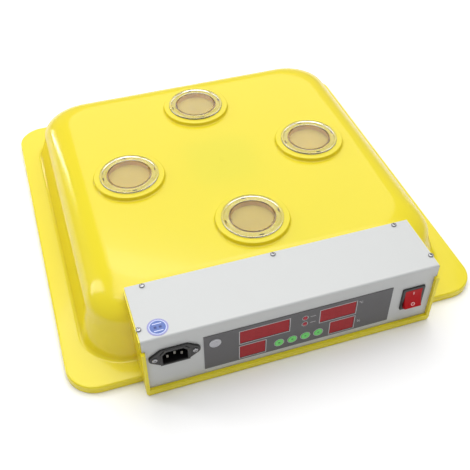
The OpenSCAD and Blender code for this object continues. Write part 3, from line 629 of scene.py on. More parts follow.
class Repeater(Tool):
    """Puts one unit at every point of a list."""

    def __init__(self) -> None:
        """Builds the tree with the inputs Places, Unit, Turn and Finish."""
        super().__init__(
            "spread_units", {"Places": "Geometry", "Unit": "Object", "Turn": "Rotation"},
            {"unit": "GeometryNodeObjectInfo", "spread": "GeometryNodeInstanceOnPoints"},
            ("given.Unit > unit.Object", "given.Places > spread.Points", "unit.Geometry > spread.Instance",
             "given.Turn > spread.Rotation", "spread.Instances > solid.Geometry"))

    def spread(self, name: str, unit: bpy.types.Object, places: Sequence[Sequence[float]],
               finish: Finish, turn: Sequence[float] = (0.0, 0.0, 0.0)) -> bpy.types.Object:
        """Copies a unit to every place and removes the unit.

        Args:
            name: the new object's name.
            unit: the object to repeat, at the origin.
            places: points in millimetres.
            finish: its finish.
            turn: rotation of every copy, in radians.

        Returns:
            The object, a plain mesh.
        """
        obj = self.run(new_object(name, places), {"Unit": unit, "Turn": turn, "Finish": finish.material()})
        bpy.data.objects.remove(unit)
        return obj


class WireArc(Tool):
    """Sweeps a round wire along an arc about +Z."""

    def __init__(self) -> None:
        """Builds the tree with the inputs Radius, Wire, Start, Sweep, Steps and Finish."""
        super().__init__(
            "bend_wire",
            {"Radius": "Float", "Wire": "Float", "Start": "Float", "Sweep": "Float", "Steps": "Int"},
            {"path": "GeometryNodeCurveArc", "section": "GeometryNodeCurvePrimitiveCircle",
             "sweep": "GeometryNodeCurveToMesh"},
            ("given.Radius > path.Radius", "given.Start > path.Start Angle", "given.Sweep > path.Sweep Angle",
             "given.Steps > path.Resolution", "given.Wire > section.Radius", "path.Curve > sweep.Curve",
             "section.Curve > sweep.Profile Curve", "sweep.Mesh > solid.Geometry"))
        self.nodes["section"].inputs["Resolution"].default_value = 16
        self.nodes["sweep"].inputs["Fill Caps"].default_value = True

    def bend(self, name: str, centre: Sequence[float], radius: float, wire: float, start: float,
             sweep: float, finish: Finish, steps: int = 160) -> bpy.types.Object:
        """Makes one wire.

        Args:
            name: the object's name.
            centre: middle of the arc, in millimetres.
            radius: of the arc's centre line, in millimetres.
            wire: radius of the wire, in millimetres.
            start: first angle in degrees.
            sweep: turn in degrees.
            finish: its finish.
            steps: points along the arc.

        Returns:
            The object, a plain mesh at the origin.
        """
        obj = self.run(new_object(name), {
            "Radius": radius * MM, "Wire": wire * MM, "Start": math.radians(start),
            "Sweep": math.radians(sweep), "Steps": steps, "Finish": finish.material()})
        obj.data.transform(Matrix.Translation(Vector(centre) * MM))
        return tidy_mesh(obj)


# ---- moulded cover --------------------------------------------------------------------------------

@dataclass
class MouldedCover:
    """The yellow moulding: flange, dome, window bosses and the control box's walls.

    Sizes are in millimetres, and the outer ones come from the frame.
    """

    wall: float = 3.0
    flange_h: float = 9.5
    flange_r: float = 32.0
    margin_side: float = 22.5
    margin_front: float = 22.0
    margin_back: float = 24.0
    dome_r: float = 48.0
    dome_h: float = 74.0
    wall_lean: float = 10.0
    shoulder_z: float = 42.0
    shoulder_in: float = 47.0
    top_r_loss: float = 6.0
    boss_r: float = 41.0
    boss_h: float = 5.0
    hole_r: float = 26.0
    slot_radii: tuple[float, float] = (29.4, 31.4)
    slot_half: float = 2.8
    fan_hole_in: float = 4.25
    fan_post_r: float = 4.5
    clip_post_r: float = 4.0
    probe_post_r: float = 3.5
    lead_hole_r: float = 5.2
    box_out: float = 19.0
    lip_t: float = 4.0
    lip_h: float = 8.2
    side_lip_z: float = 66.0
    floor_t: float = 3.0
    lid_gap: float = 1.4
    corner_r: float = 4.0
    face_slack: float = 0.3
    bend_r: float = 2.4
    corner_steps: int = 20
    low: Vector = field(init=False)
    high: Vector = field(init=False)

    def __post_init__(self) -> None:
        """Takes the outer sizes and the windows' places from the frame."""
        self.low, self.high = span("cover_shell")
        plate_low, plate_high = span("control_cover")
        self.face_y = plate_low.y
        self.lid_back = plate_high.y
        self.sheet_top = plate_high.z
        self.box_hx = plate_high.x + 1.6
        self.front = self.low.y + self.box_out
        self.ceiling = self.dome_h - self.wall
        self.windows = [middle(f"window_cap_{side}") for side in ("front", "left", "back", "right")]
        self.centre_y = middle("fan_frame").y

    def flange_ring(self, inset: float, z: float) -> list:
        """Ring round the flange, inwards by inset, at height z."""
        outline = round_outline(self.low.x + inset, self.high.x - inset, self.front + inset,
                                self.high.y - inset, self.flange_r - inset, self.corner_steps)
        return [(x, y, z) for x, y in outline]

    def dome_ring(self, inset: float, z: float, radius: float) -> list:
        """Ring round the dome, inwards from its foot by inset, at height z."""
        outline = round_outline(self.low.x + self.margin_side + inset, self.high.x - self.margin_side - inset,
                                self.front + self.margin_front + inset,
                                self.high.y - self.margin_back - inset,
                                radius, self.corner_steps)
        return [(x, y, z) for x, y in outline]

    def shoulder(self, turn: float, grow: float = 0.0) -> tuple[float, float, float]:
        """Inset, height and corner radius of the shoulder at an angle, moved inwards by grow."""
        across, up = self.shoulder_in - self.wall_lean, self.dome_h - self.shoulder_z
        c, s = math.cos(math.radians(turn)), math.sin(math.radians(turn))
        length = math.hypot(c / across, s / up)
        out = (c / across / length, s / up / length)
        return (self.shoulder_in - across * c + grow * out[0], self.shoulder_z + up * s - grow * out[1],
                self.dome_r - self.top_r_loss * turn / 90 - grow * out[0])

    def outer_rings(self) -> list:
        """Rings from the flange's foot over its round edge and up the dome to its flat top."""
        edge, root, turn = 2.0, 3.0, 14.0
        rings = [self.flange_ring(0.4, 0.0), self.flange_ring(0.0, 0.4)]
        rings += [self.flange_ring(edge - x, self.flange_h - edge + z)
                  for x, z in arc((0.0, 0.0), edge, 0, 90, 6)]
        slope = self.wall_lean / (self.shoulder_z - self.flange_h)
        foot = [(-root, 0.0), *fillet((-root, 0.0), (0.0, 0.0), (root * slope, root)), (root * slope, root)]
        rings += [self.dome_ring(x, self.flange_h + z, self.dome_r + max(-x, 0.0)) for x, z in foot]
        start = self.shoulder(turn)
        below = (self.wall_lean - 6.0 * slope, self.shoulder_z - 6.0)
        crease = [below, *fillet(below, (self.wall_lean, self.shoulder_z), start[:2]), start[:2]]
        rings += [self.dome_ring(x, z, self.dome_r) for x, z in crease]
        for i in range(1, 17):
            inset, z, radius = self.shoulder(turn + (90 - turn) * i / 16)
            rings.append(self.dome_ring(inset, z, radius))
        rings.append(self.dome_ring(self.shoulder_in + 1.0, self.dome_h, self.dome_r - self.top_r_loss - 1.0))
        return rings

    def inner_rings(self) -> list:
        """Rings of the hollow under the flange and the dome."""
        under = self.flange_h - self.wall
        rings = [self.flange_ring(self.wall, -1.0), self.flange_ring(self.wall, under)]
        rings += [self.dome_ring(self.wall, under, self.dome_r - self.wall),
                  self.dome_ring(self.wall, self.flange_h, self.dome_r - self.wall)]
        for i in range(17):
            inset, z, radius = self.shoulder(90 * i / 16, self.wall)
            rings.append(self.dome_ring(inset, z, radius))
        return rings

    def bosses(self) -> bpy.types.Object:
        """Raised rings round the windows, with a flared root and a round top edge, and the middle mark."""
        solid, edge, root = Solid(), 1.2, 2.2
        top = self.dome_h + self.boss_h
        foot = [(self.boss_r + root, self.dome_h - 0.02), *fillet(
            (self.boss_r + root, self.dome_h), (self.boss_r, self.dome_h), (self.boss_r, self.dome_h + root))]
        profile = [(0.0, self.dome_h - 1.5), (self.boss_r + root, self.dome_h - 1.5), *foot,
                   (self.boss_r, self.dome_h + root), *arc((self.boss_r - edge, top - edge), edge, 0, 90, 5),
                   (0.0, top)]
        for window in self.windows:
            solid.lathe(profile, (window.x, window.y, 0.0), 120)
        dome = self.dome_h
        solid.lathe([(0.0, dome - 1), (3.0, dome - 1), (3.0, dome + 0.2),
                     (2.8, dome + 0.3), (0.0, dome + 0.3)],
                    (0.0, self.centre_y, 0.0), 48)
        return solid.mesh("bosses")

    def box_walls(self) -> bpy.types.Object:
        """The control box's floor, lip, side and back walls, open at the front and top."""
        top, edge, back = self.sheet_top - self.lid_gap, 1.2, self.lid_back + 1.1
        levels = [(0.0, back), (0.0, self.low.y + edge), (0.35, self.low.y + 0.35), (edge, self.low.y)]
        outlines = []
        for inset, _ in levels:
            hx, r = self.box_hx - inset, self.corner_r - inset
            outlines.append(arc((-hx + r, inset + r), r, 180, 270, 8)
                            + arc((hx - r, inset + r), r, 270, 360, 8)
                            + [(hx, top), (-hx, top)])
        walls = Solid().plates(outlines, [y for _, y in levels]).mesh("box_walls")
        inner = self.box_hx - self.lip_t
        cut = Solid().box((-inner, self.face_y - self.face_slack, self.floor_t),
                          (inner, back - self.wall, top + 2))
        walls = combine(walls, cut.mesh("cut"), "DIFFERENCE")
        mouth = Solid().box((-inner, self.low.y - 1, self.lip_h), (inner, self.face_y, top + 2))
        walls = combine(walls, mouth.mesh("cut"), "DIFFERENCE")
        r = self.bend_r - self.lid_gap
        centre = (self.face_y + self.bend_r, self.sheet_top - self.bend_r)
        room = [(self.low.y - 1, self.side_lip_z), (centre[0] - r, self.side_lip_z),
                *arc(centre, r, 180, 90, 8), (centre[0], top + 2), (self.low.y - 1, top + 2)]
        return combine(walls, Solid().across(room, -self.box_hx - 1, self.box_hx + 1).mesh("cut"),
                       "DIFFERENCE")

    def window_cuts(self) -> bpy.types.Object:
        """Round holes of the windows and the slots for the caps' hooks."""
        solid = Solid()
        low, high = self.ceiling - 1, self.dome_h + self.boss_h + 1
        for window in self.windows:
            solid.lathe([(0.0, low), (self.hole_r, low), (self.hole_r, high), (0.0, high)],
                        (window.x, window.y, 0.0), 96)
            four_boxes(solid, window, self.slot_radii, self.slot_half, (low, high))
        return solid.mesh("window_cuts")

    def posts(self) -> bpy.types.Object:
        """Posts that hang from the dome's top and hold the fan, the heater and the sensors."""
        solid, top = Solid(), self.ceiling + 1.5

        def post(x: float, y: float, radius: float, bottom: float) -> None:
            """One round post."""
            solid.lathe([(0, bottom), (radius, bottom), (radius, top), (0, top)], (x, y, 0), 40)

        fan_low, fan_high = span("fan_frame")
        inset = self.fan_hole_in
        for x in (fan_low.x + inset, fan_high.x - inset):
            for y in (fan_low.y + inset, fan_high.y - inset):
                post(x, y, self.fan_post_r, fan_high.z)
        ring_low, ring_high = span("heater_ring")
        reach = (ring_high.x - ring_low.x) / 2 - (ring_high.z - ring_low.z) / 2
        clip_top = span("heater_clips")[1].z
        for turn in (45, 135, 225, 315):
            x, y = arc((0.0, self.centre_y), reach, turn, turn, 1)[0]
            post(x, y, self.clip_post_r, clip_top)
        for node in ("probe_clip", "humidity_sensor"):
            spot = middle(node)
            post(spot.x, spot.y, self.probe_post_r, span(node)[1].z)
        return solid.mesh("posts")

    def mark_hollow(self, cover: bpy.types.Object) -> None:
        """Stores 1 on the faces that look into the hollow, which pass on nearly all light.

        Args:
            cover: the finished moulding.
        """
        mark = cover.data.attributes.new(HOLLOW, "FLOAT", "FACE")
        heart = Vector((0.0, self.centre_y, 20.0)) * MM
        reach = (self.high.x - self.margin_side - self.wall + 0.5) * MM
        for polygon, value in zip(cover.data.polygons, mark.data):
            spot = polygon.center
            inside = (abs(spot.x) < reach and abs(spot.y - heart.y) < reach
                      and spot.z < (self.ceiling + 0.1) * MM)
            in_hole = spot.z > (self.ceiling - 0.1) * MM and any(
                math.hypot(spot.x - window.x * MM, spot.y - window.y * MM) < (self.hole_r + 0.1) * MM
                for window in self.windows)
            value.value = float(in_hole or (inside and polygon.normal.dot(heart - spot) > 0))

    def build(self) -> bpy.types.Object:
        """Makes and dresses the moulding.

        Returns:
            The piece.
        """
        cover = Solid().stack(self.outer_rings()).mesh("moulded_cover")
        cover = combine(cover, self.box_walls(), "UNION")
        cover = combine(cover, self.bosses(), "UNION")
        cover = combine(cover, Solid().stack(self.inner_rings()).mesh("hollow"), "DIFFERENCE")
        cover = combine(cover, self.window_cuts(), "DIFFERENCE")
        cover = combine(cover, self.posts(), "UNION")
        grommet_low, grommet_high = span("wire_grommet")
        hole = middle("wire_grommet")
        near, far, r = -grommet_high.y - 3, -grommet_low.y + 3, self.lead_hole_r
        bore = Solid().lathe([(0, near), (r, near), (r, far), (0, far)], (hole.x, 0, hole.z), 48,
                             forward=True)
        cover = combine(cover, bore.mesh("bore"), "DIFFERENCE")
        self.mark_hollow(cover)
        return dress(cover, YELLOW, nodes=["cover_shell"])


# ---- windows --------------------------------------------------------------------------------------

@dataclass
class Windows:
    """Clear caps with a raised rim, a bead round the sight and four hooks. Millimetres."""

    sides: tuple[str, ...] = ("front", "left", "back", "right")
    sight_r: float = 24.2
    disc_t: float = 1.3
    skirt_t: float = 1.5
    edge: float = 0.6
    rim_h: float = 1.9
    hook_r: float = 29.6
    hook_t: float = 1.2
    hook_half: float = 2.5
    hook_h: float = 10.5

    def cap(self, side: str) -> bpy.types.Object:
        """One cap, which replaces its CAD node."""
        name = f"window_cap_{side}"
        low, high = span(name)
        centre = middle(name)
        base, top, outer, e = high.z - self.rim_h, high.z, (high.x - low.x) / 2, self.edge
        skirt = span(f"window_pane_{side}")[0].z - 0.5
        inner = self.sight_r
        profile = [(0.0, base), (inner, base), (inner, skirt), (inner + self.skirt_t, skirt),
                   (inner + self.skirt_t, base), (outer, base), (outer, top - e)]
        profile += arc((outer - e, top - e), e, 15, 90, 5)
        profile += [(outer - 2.6, top), (outer - 3.2, top - 0.55), (inner + 3.6, top - 0.55),
                    (inner + 2.6, top), (inner + 1.0, top), (inner, top - 0.35),
                    (inner - 0.25, base + self.disc_t),
                    (0.0, base + self.disc_t)]
        solid = Solid().lathe(profile, (centre.x, centre.y, 0.0), 120)
        cap = solid.mesh(f"clear_cap_{side}")
        hooks = four_boxes(Solid(), centre, (self.hook_r, self.hook_r + self.hook_t), self.hook_half,
                           (base - self.hook_h, base + 0.4))
        cap = combine(cap, hooks.mesh("hooks"), "UNION")
        return dress(cap, CLEAR, nodes=[name])

    def build(self) -> None:
        """Makes all caps."""
        for side in self.sides:
            self.cap(side)


# ---- control box ----------------------------------------------------------------------------------

@dataclass
class ControlPanel:
    """The bent sheet cover with its film, print, displays, lamps and keys. Millimetres."""

    repeater: Repeater
    sheet_t: float = 1.2
    bend_r: float = 2.4
    plate_in: float = 2.7
    print_t: float = 0.06
    line: float = 0.75
    window_gap: float = 0.25
    inlet_cut: tuple[float, float] = (13.9, 10.3)
    switch_cut: tuple[float, float] = (11.1, 14.1)
    key_hole_r: float = 4.9
    segment_half: float = 0.6

    def __post_init__(self) -> None:
        """Takes the faces' places from the frame."""
        self.low, self.high = span("control_cover")
        self.film_y = span("panel_overlay")[0].y

    def section(self, bottom: float) -> Outline:
        """Section of the bent sheet in Y and Z, anticlockwise."""
        y0, y1, top, t, r = self.low.y, self.high.y, self.high.z, self.sheet_t, self.bend_r
        centre = (y0 + r, top - r)
        outside = arc(centre, r, 90, 180, 14)
        inside = arc(centre, r - t, 180, 90, 14)
        return [(y1, top - 0.15), (y1 - 0.15, top), *outside, (y0, bottom), (y0 + t, bottom), *inside,
                (y1, top - t)]

    def sheet(self) -> bpy.types.Object:
        """The bent sheet, cut to the CAD node's openings."""
        shoulder_z = MouldedCover.side_lip_z
        plate_hx = self.high.x - self.plate_in
        lid = Solid().across(self.section(shoulder_z + 0.3), -self.high.x, self.high.x).mesh("control_sheet")
        plate = Solid().box((-plate_hx, self.low.y, self.low.z),
                            (plate_hx, self.low.y + self.sheet_t, shoulder_z + 1.0))
        lid = combine(lid, plate.mesh("plate"), "UNION")
        cuts = Solid()
        y0, y1 = self.low.y - 1, self.low.y + self.sheet_t + 1
        for node in DISPLAYS:
            a, b = span(node)
            gap = self.window_gap
            cuts.box((a.x - gap, y0, a.z - gap), (b.x + gap, y1, b.z + gap))
        for node, (hx, hz) in (("inlet_body", self.inlet_cut), ("switch_housing", self.switch_cut)):
            spot = middle(node)
            cuts.box((spot.x - hx, y0, spot.z - hz), (spot.x + hx, y1, spot.z + hz))
        for index in range(1, 5):
            key = middle(f"button_{index}")
            r = self.key_hole_r
            cuts.lathe([(0, -y1), (r, -y1), (r, -y0), (0, -y0)], (key.x, 0, key.z), 40, forward=True)
        lid = combine(lid, cuts.mesh("cuts"), "DIFFERENCE")
        return dress(lid, POWDER, nodes=["control_cover"])

    def frame_print(self, solid: Solid, low: Vector, high: Vector) -> None:
        """Pale line round one window, printed on the film."""
        gap, w, y = 0.3, self.line, self.film_y
        x0, x1, z0, z1 = low.x - gap, high.x + gap, low.z - gap, high.z + gap
        for a, b in (((x0 - w, z0 - w), (x1 + w, z0)), ((x0 - w, z1), (x1 + w, z1 + w)),
                     ((x0 - w, z0), (x0, z1)), ((x1, z0), (x1 + w, z1))):
            solid.box((a[0], y - self.print_t, a[1]), (b[0], y, b[1]))

    def ring_print(self, solid: Solid, x: float, z: float, inner: float, width: float) -> None:
        """Pale printed ring."""
        t, outer = self.print_t, inner + width
        solid.lathe([(inner, 0), (outer, 0), (outer, t), (inner, t)], (x, self.film_y, z), 48, True, True)

    def printing(self) -> bpy.types.Object:
        """Lines round the windows, rings round lamps and keys, and plain generic marks."""
        solid = Solid()
        for node in DISPLAYS:
            self.frame_print(solid, *span(node))
        lamps_low, lamps_high = span("indicator_leds")
        lamp_x, r = (lamps_low.x + lamps_high.x) / 2, (lamps_high.x - lamps_low.x) / 2
        for z in (lamps_low.z + r, lamps_high.z - r):
            self.ring_print(solid, lamp_x, z, r - 0.1, 0.6)
            solid.box((lamp_x + 5.5, self.film_y - self.print_t, z - 0.3),
                      (lamp_x + 11.5, self.film_y, z + 0.3))
        for index in range(1, 5):
            key = middle(f"button_{index}")
            self.ring_print(solid, key.x, key.z, 4.95, 0.55)
        upper, lower = span("display_upper_right"), span("display_lower_right")
        degree = (upper[1].x + 5.5, (upper[0].z + upper[1].z) / 2 + 6)
        self.ring_print(solid, degree[0] - 1.8, degree[1] + 1.3, 0.35, 0.35)
        self.open_ring(solid, degree[0] + 0.8, degree[1], 1.5, 0.5)
        percent = (lower[1].x + 5.5, (lower[0].z + lower[1].z) / 2)
        for s in (-1, 1):
            self.ring_print(solid, percent[0] + s * 1.2, percent[1] - s * 1.1, 0.3, 0.4)
        slash = [(percent[0] - 1.5, percent[1] - 1.8), (percent[0] - 0.9, percent[1] - 1.8),
                 (percent[0] + 1.5, percent[1] + 1.8), (percent[0] + 0.9, percent[1] + 1.8)]
        solid.plates([slash, slash], [self.film_y, self.film_y - self.print_t])
        return dress(solid.mesh("panel_print"), PRINT, shade=False)

    def open_ring(self, solid: Solid, x: float, z: float, radius: float, width: float) -> None:
        """Printed ring with a gap on the right, as in the sign for degrees Celsius."""
        outer, inner = arc((x, z), radius, 50, 310, 20), arc((x, z), radius - width, 310, 50, 20)
        outline = outer + inner
        solid.plates([outline, outline], [self.film_y, self.film_y - self.print_t])

    def displays(self) -> None:
        """Red filters with faintly visible unlit segments."""
        for node in DISPLAYS:
            low, high = span(node)
            edge = 0.35
            levels = [(0.0, high.y), (0.0, low.y + edge), (0.12, low.y + 0.12), (edge, low.y)]
            outlines = [round_outline(low.x + i, high.x - i, low.z + i, high.z - i, 0.5, 4)
                        for i, _ in levels]
            name = node.replace("display", "red_filter")
            dress(Solid().plates(outlines, [y for _, y in levels]).mesh(name),
                  DISPLAY, nodes=[node])
        w = self.segment_half
        flat = [(-2.6, 0), (-2.0, -w), (2.0, -w), (2.6, 0), (2.0, w), (-2.0, w)]
        upright = [(0, -2.6), (w, -2.0), (w, 2.0), (0, 2.6), (-w, 2.0), (-w, -2.0)]
        flat_places, upright_places = [], []
        for node, digits in DISPLAYS.items():
            low, high = span(node)
            pitch, z = (high.x - low.x) / digits, (low.z + high.z) / 2
            for i in range(digits):
                x = low.x + pitch * (i + 0.5)
                flat_places += [(x, low.y, z + s * 6.4) for s in (-1, 0, 1)]
                upright_places += [(x + c * 3.1, low.y, z + s * 3.2) for c in (-1, 1) for s in (-1, 1)]
        for name, outline, places in (("segments_flat", flat, flat_places),
                                      ("segments_upright", upright, upright_places)):
            unit = Solid().plates([outline] * 2, [0, -0.04]).mesh("unit")
            dress(self.repeater.spread(name, unit, places, SEGMENT), SEGMENT, shade=False)

    def lamps(self) -> bpy.types.Object:
        """Two domed lamps."""
        low, high = span("indicator_leds")
        flange = (high.x - low.x) / 2
        r, x = flange - 0.4, (low.x + high.x) / 2
        depth = high.y - low.y
        dome = [(r * math.cos(math.radians(a)), depth - r + r * math.sin(math.radians(a)))
                for a in range(0, 91, 10)]
        solid = Solid()
        for z in (low.z + flange, high.z - flange):
            solid.lathe([(0, 0), (flange, 0), (flange, 1), (r, 1), *dome], (x, high.y, z), 40, forward=True)
        return dress(solid.mesh("lamps"), LAMP, nodes=["indicator_leds"])

    def keys(self) -> None:
        """Four green keys with a soft edge, each with a small sunk dot, on their own bodies."""
        for index in range(1, 5):
            node = f"button_{index}"
            low, high = span(node)
            flange = (high.x - low.x) / 2
            r, depth = flange - 0.9, high.y - low.y
            profile = [(0, 0), (flange, 0), (flange, 1.0), (r, 1.0), (r, depth - 0.6),
                       *arc((r - 0.6, depth - 0.6), 0.6, 15, 75, 3), (r - 0.9, depth),
                       (1.5, depth - 0.12), (1.2, depth - 0.3), (0, depth - 0.3)]
            spot = middle(node)
            key = Solid().lathe(profile, (spot.x, high.y, spot.z), 56, forward=True)
            dress(key.mesh(f"key_{index}"), KEY_GREEN, node, [node])
            mark = Solid().lathe([(0, depth - 0.3), (1.15, depth - 0.3),
                                  (1.15, depth - 0.24), (0, depth - 0.24)],
                                 (spot.x, high.y, spot.z), 32, forward=True)
            dress(mark.mesh(f"key_mark_{index}"), KEY_MARK, node)

    def emblem(self) -> bpy.types.Object:
        """Plain silver disc with a raised rim and a raised dot."""
        low, high = span("panel_emblem")
        r, t, spot = (high.x - low.x) / 2, high.y - low.y, middle("panel_emblem")
        profile = [(0, 0), (r, 0), (r, t - 0.15), (r - 0.15, t), (r - 1.1, t), (r - 1.3, t - 0.25),
                   (2.2, t - 0.25), (2.0, t), (0, t)]
        return dress(Solid().lathe(profile, (spot.x, high.y, spot.z), 72, forward=True).mesh("plain_emblem"),
                     SILVER, nodes=["panel_emblem"])

    def label(self) -> None:
        """Finish of the round sticker, whose shape is the CAD node's."""
        low, high = span("round_label")
        centre = tuple((low + high) / 2 * MM)
        sticker = RoundPrint("round_print", (0.085, 0.145, 0.42), 0.4, centre=centre,
                             radius=(high.x - low.x) / 2 * MM)
        paint_node("round_label", sticker)

    def build(self) -> None:
        """Makes every piece of the panel."""
        self.sheet()
        self.printing()
        self.displays()
        self.lamps()
        self.keys()
        self.emblem()
        self.label()


DISPLAYS = {"display_upper_left": 4, "display_lower_left": 2,
            "display_upper_right": 3, "display_lower_right": 2}


# ---- inlet, switch and screws ---------------------------------------------------------------------

@dataclass
class MainsInlet:
    """The moulded mains inlet: flange with two ears, collar and socket. Millimetres."""

    ear_x: float = 20.0
    ear_r: float = 5.5
    flange: tuple[float, float] = (13.5, 11.2)
    flange_t: float = 2.5
    rear: tuple[float, float, float] = (13.6, 10.0, 4.0)
    collar: tuple[float, float, float] = (14.6, 10.6, 4.5)
    socket: tuple[float, float, float] = (12.1, 8.2, 4.0)
    socket_depth: float = 12.3

    def cut_outline(self, spot: Vector, size: tuple[float, float, float], inset: float) -> Outline:
        """Outline of half width, half height and corner cut, inwards by inset, with its upper corners cut."""
        hx, hz, cut = size[0] - inset, size[1] - inset, size[2] - 0.6 * inset
        pairs = [(-hx, -hz), (hx, -hz), (hx, hz - cut), (hx - cut, hz), (-hx + cut, hz), (-hx, hz - cut)]
        return [(spot.x + x, spot.z + z) for x, z in pairs]

    def flange_outline(self, spot: Vector, inset: float) -> Outline:
        """Outline of the flange with its round ears, inwards by inset."""
        hx, hz = self.flange[0] - 0.5 * inset, self.flange[1] - inset
        right = arc((self.ear_x, 0.0), self.ear_r - inset, -60, 60, 12)
        left = arc((-self.ear_x, 0.0), self.ear_r - inset, 120, 240, 12)
        pairs = [(hx, -hz), *right, (hx, hz), (-hx, hz), *left, (-hx, -hz)]
        return [(spot.x + x, spot.z + z) for x, z in pairs]

    def build(self) -> bpy.types.Object:
        """Makes and dresses the inlet.

        Returns:
            The piece.
        """
        low, high = span("inlet_body")
        spot = middle("inlet_body")
        face = low.y + 0.9 + self.flange_t
        steps = [(0.0, face), (0.0, face - self.flange_t + 0.6), (0.2, face - self.flange_t + 0.2),
                 (0.7, face - self.flange_t)]
        flange = [self.flange_outline(spot, i) for i, _ in steps]
        body = Solid().plates(flange, [y for _, y in steps]).mesh("mains_inlet")

        def block(size: tuple[float, float, float], steps: list, name: str) -> bpy.types.Object:
            """A block with cut corners, through steps of inset and depth."""
            outlines = [self.cut_outline(spot, size, i) for i, _ in steps]
            return Solid().plates(outlines, [y for _, y in steps]).mesh(name)

        collar = [(0.0, face - 0.5), (0.0, low.y + 0.5), (0.15, low.y + 0.15), (0.5, low.y)]
        body = combine(body, block(self.collar, collar, "collar"), "UNION")
        body = combine(body, block(self.rear, [(0.0, high.y), (0.0, face - 0.5)], "rear"), "UNION")
        hole = [(0.0, face + self.socket_depth), (0.0, low.y + 0.6), (-0.6, low.y - 0.01)]
        body = combine(body, block(self.socket, hole, "socket"), "DIFFERENCE")
        return dress(body, BLACK, nodes=["inlet_body"])


@dataclass
class RockerSwitch:
    """Bezel and rocker, with their generic on and off marks. Millimetres."""

    half_x: float = 9.5
    radius: float = 12.6
    tilt: float = 11.0
    valley: float = 3.4
    peak: float = 5.2
    body: tuple[float, float] = (10.9, 13.9)
    play: float = 0.25

    def __post_init__(self) -> None:
        """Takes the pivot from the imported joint."""
        joint = next(j for j in frame["joints"] if j["child"] == "switch_rocker")
        self.pivot = Vector(joint["pos_m"]) / MM

    def bezel(self) -> bpy.types.Object:
        """Bezel and body, with a soft outer edge."""
        low, high = span("switch_housing")
        x, z, face = self.pivot.x, self.pivot.z, low.y + 2.0
        steps = [(0.0, face), (0.0, low.y + 0.8), (0.25, low.y + 0.25), (0.9, low.y)]
        outlines = [round_outline(low.x + i, high.x - i, low.z + i, high.z - i, 1.6 - i, 5) for i, _ in steps]
        part = Solid().plates(outlines, [y for _, y in steps]).mesh("switch_bezel")
        hx, hz = self.body
        rear = Solid().box((x - hx, face - 0.4, z - hz), (x + hx, high.y, z + hz))
        part = combine(part, rear.mesh("rear"), "UNION")
        hx, hz = self.half_x + self.play, self.radius + self.play
        hole = Solid().box((x - hx, low.y - 1, z - hz), (x + hx, self.pivot.y + 9, z + hz))
        part = combine(part, hole.mesh("hole"), "DIFFERENCE")
        return dress(part, BLACK, nodes=["switch_housing"])

    def turned(self, obj: bpy.types.Object) -> bpy.types.Object:
        """Turns a mesh drawn level about the pivot to its place at rest."""
        matrix = Matrix.Translation(self.pivot * MM) @ Matrix.Rotation(math.radians(-self.tilt), 4, "X")
        obj.data.transform(matrix)
        return obj

    def rocker(self) -> bpy.types.Object:
        """The rocker, level about its pivot: a shallow valley between two round ends."""
        tip = math.degrees(math.asin(self.peak / self.radius))
        root, end = 18, self.radius * 0.9
        upper = arc((0.0, 0.0), self.radius, 90 + tip, 90 - root, 8)
        lower = arc((0.0, 0.0), self.radius, -90 + root, -90 - tip, 8)
        hollow = fillet((-self.peak, -end), (-self.valley + 1.2, 0.0), (-self.peak, end), 16)
        section = [*upper, *lower, *hollow]
        steps = [(0.0, 0.985), (0.5, 1.0), (2 * self.half_x - 0.5, 1.0), (2 * self.half_x, 0.985)]
        rings = [[(-self.half_x + x, y * s, z * s) for y, z in section] for x, s in steps]
        return self.turned(Solid().stack(rings).mesh("rocker"))

    def marks(self) -> bpy.types.Object:
        """A bar at the upper end and a ring at the lower end, pressed into the face."""
        solid = Solid()
        face, away, sunk, proud = self.peak - 0.62, 7.2, 0.5, 0.10
        inner, outer = 1.35, 2.25
        solid.box((-0.5, -face - proud, away - 1.7), (0.5, -face + sunk, away + 1.7))
        solid.lathe([(inner, -sunk), (outer, -sunk), (outer, proud), (inner, proud)],
                    (0, -face, -away), 40, True, True)
        return self.turned(solid.mesh("rocker_marks"))

    def build(self) -> None:
        """Makes and dresses the switch."""
        self.bezel()
        dress(self.rocker(), ROCKER, "switch_rocker", ["switch_rocker"])
        dress(self.marks(), ROCKER_MARK, "switch_rocker", shade=False)


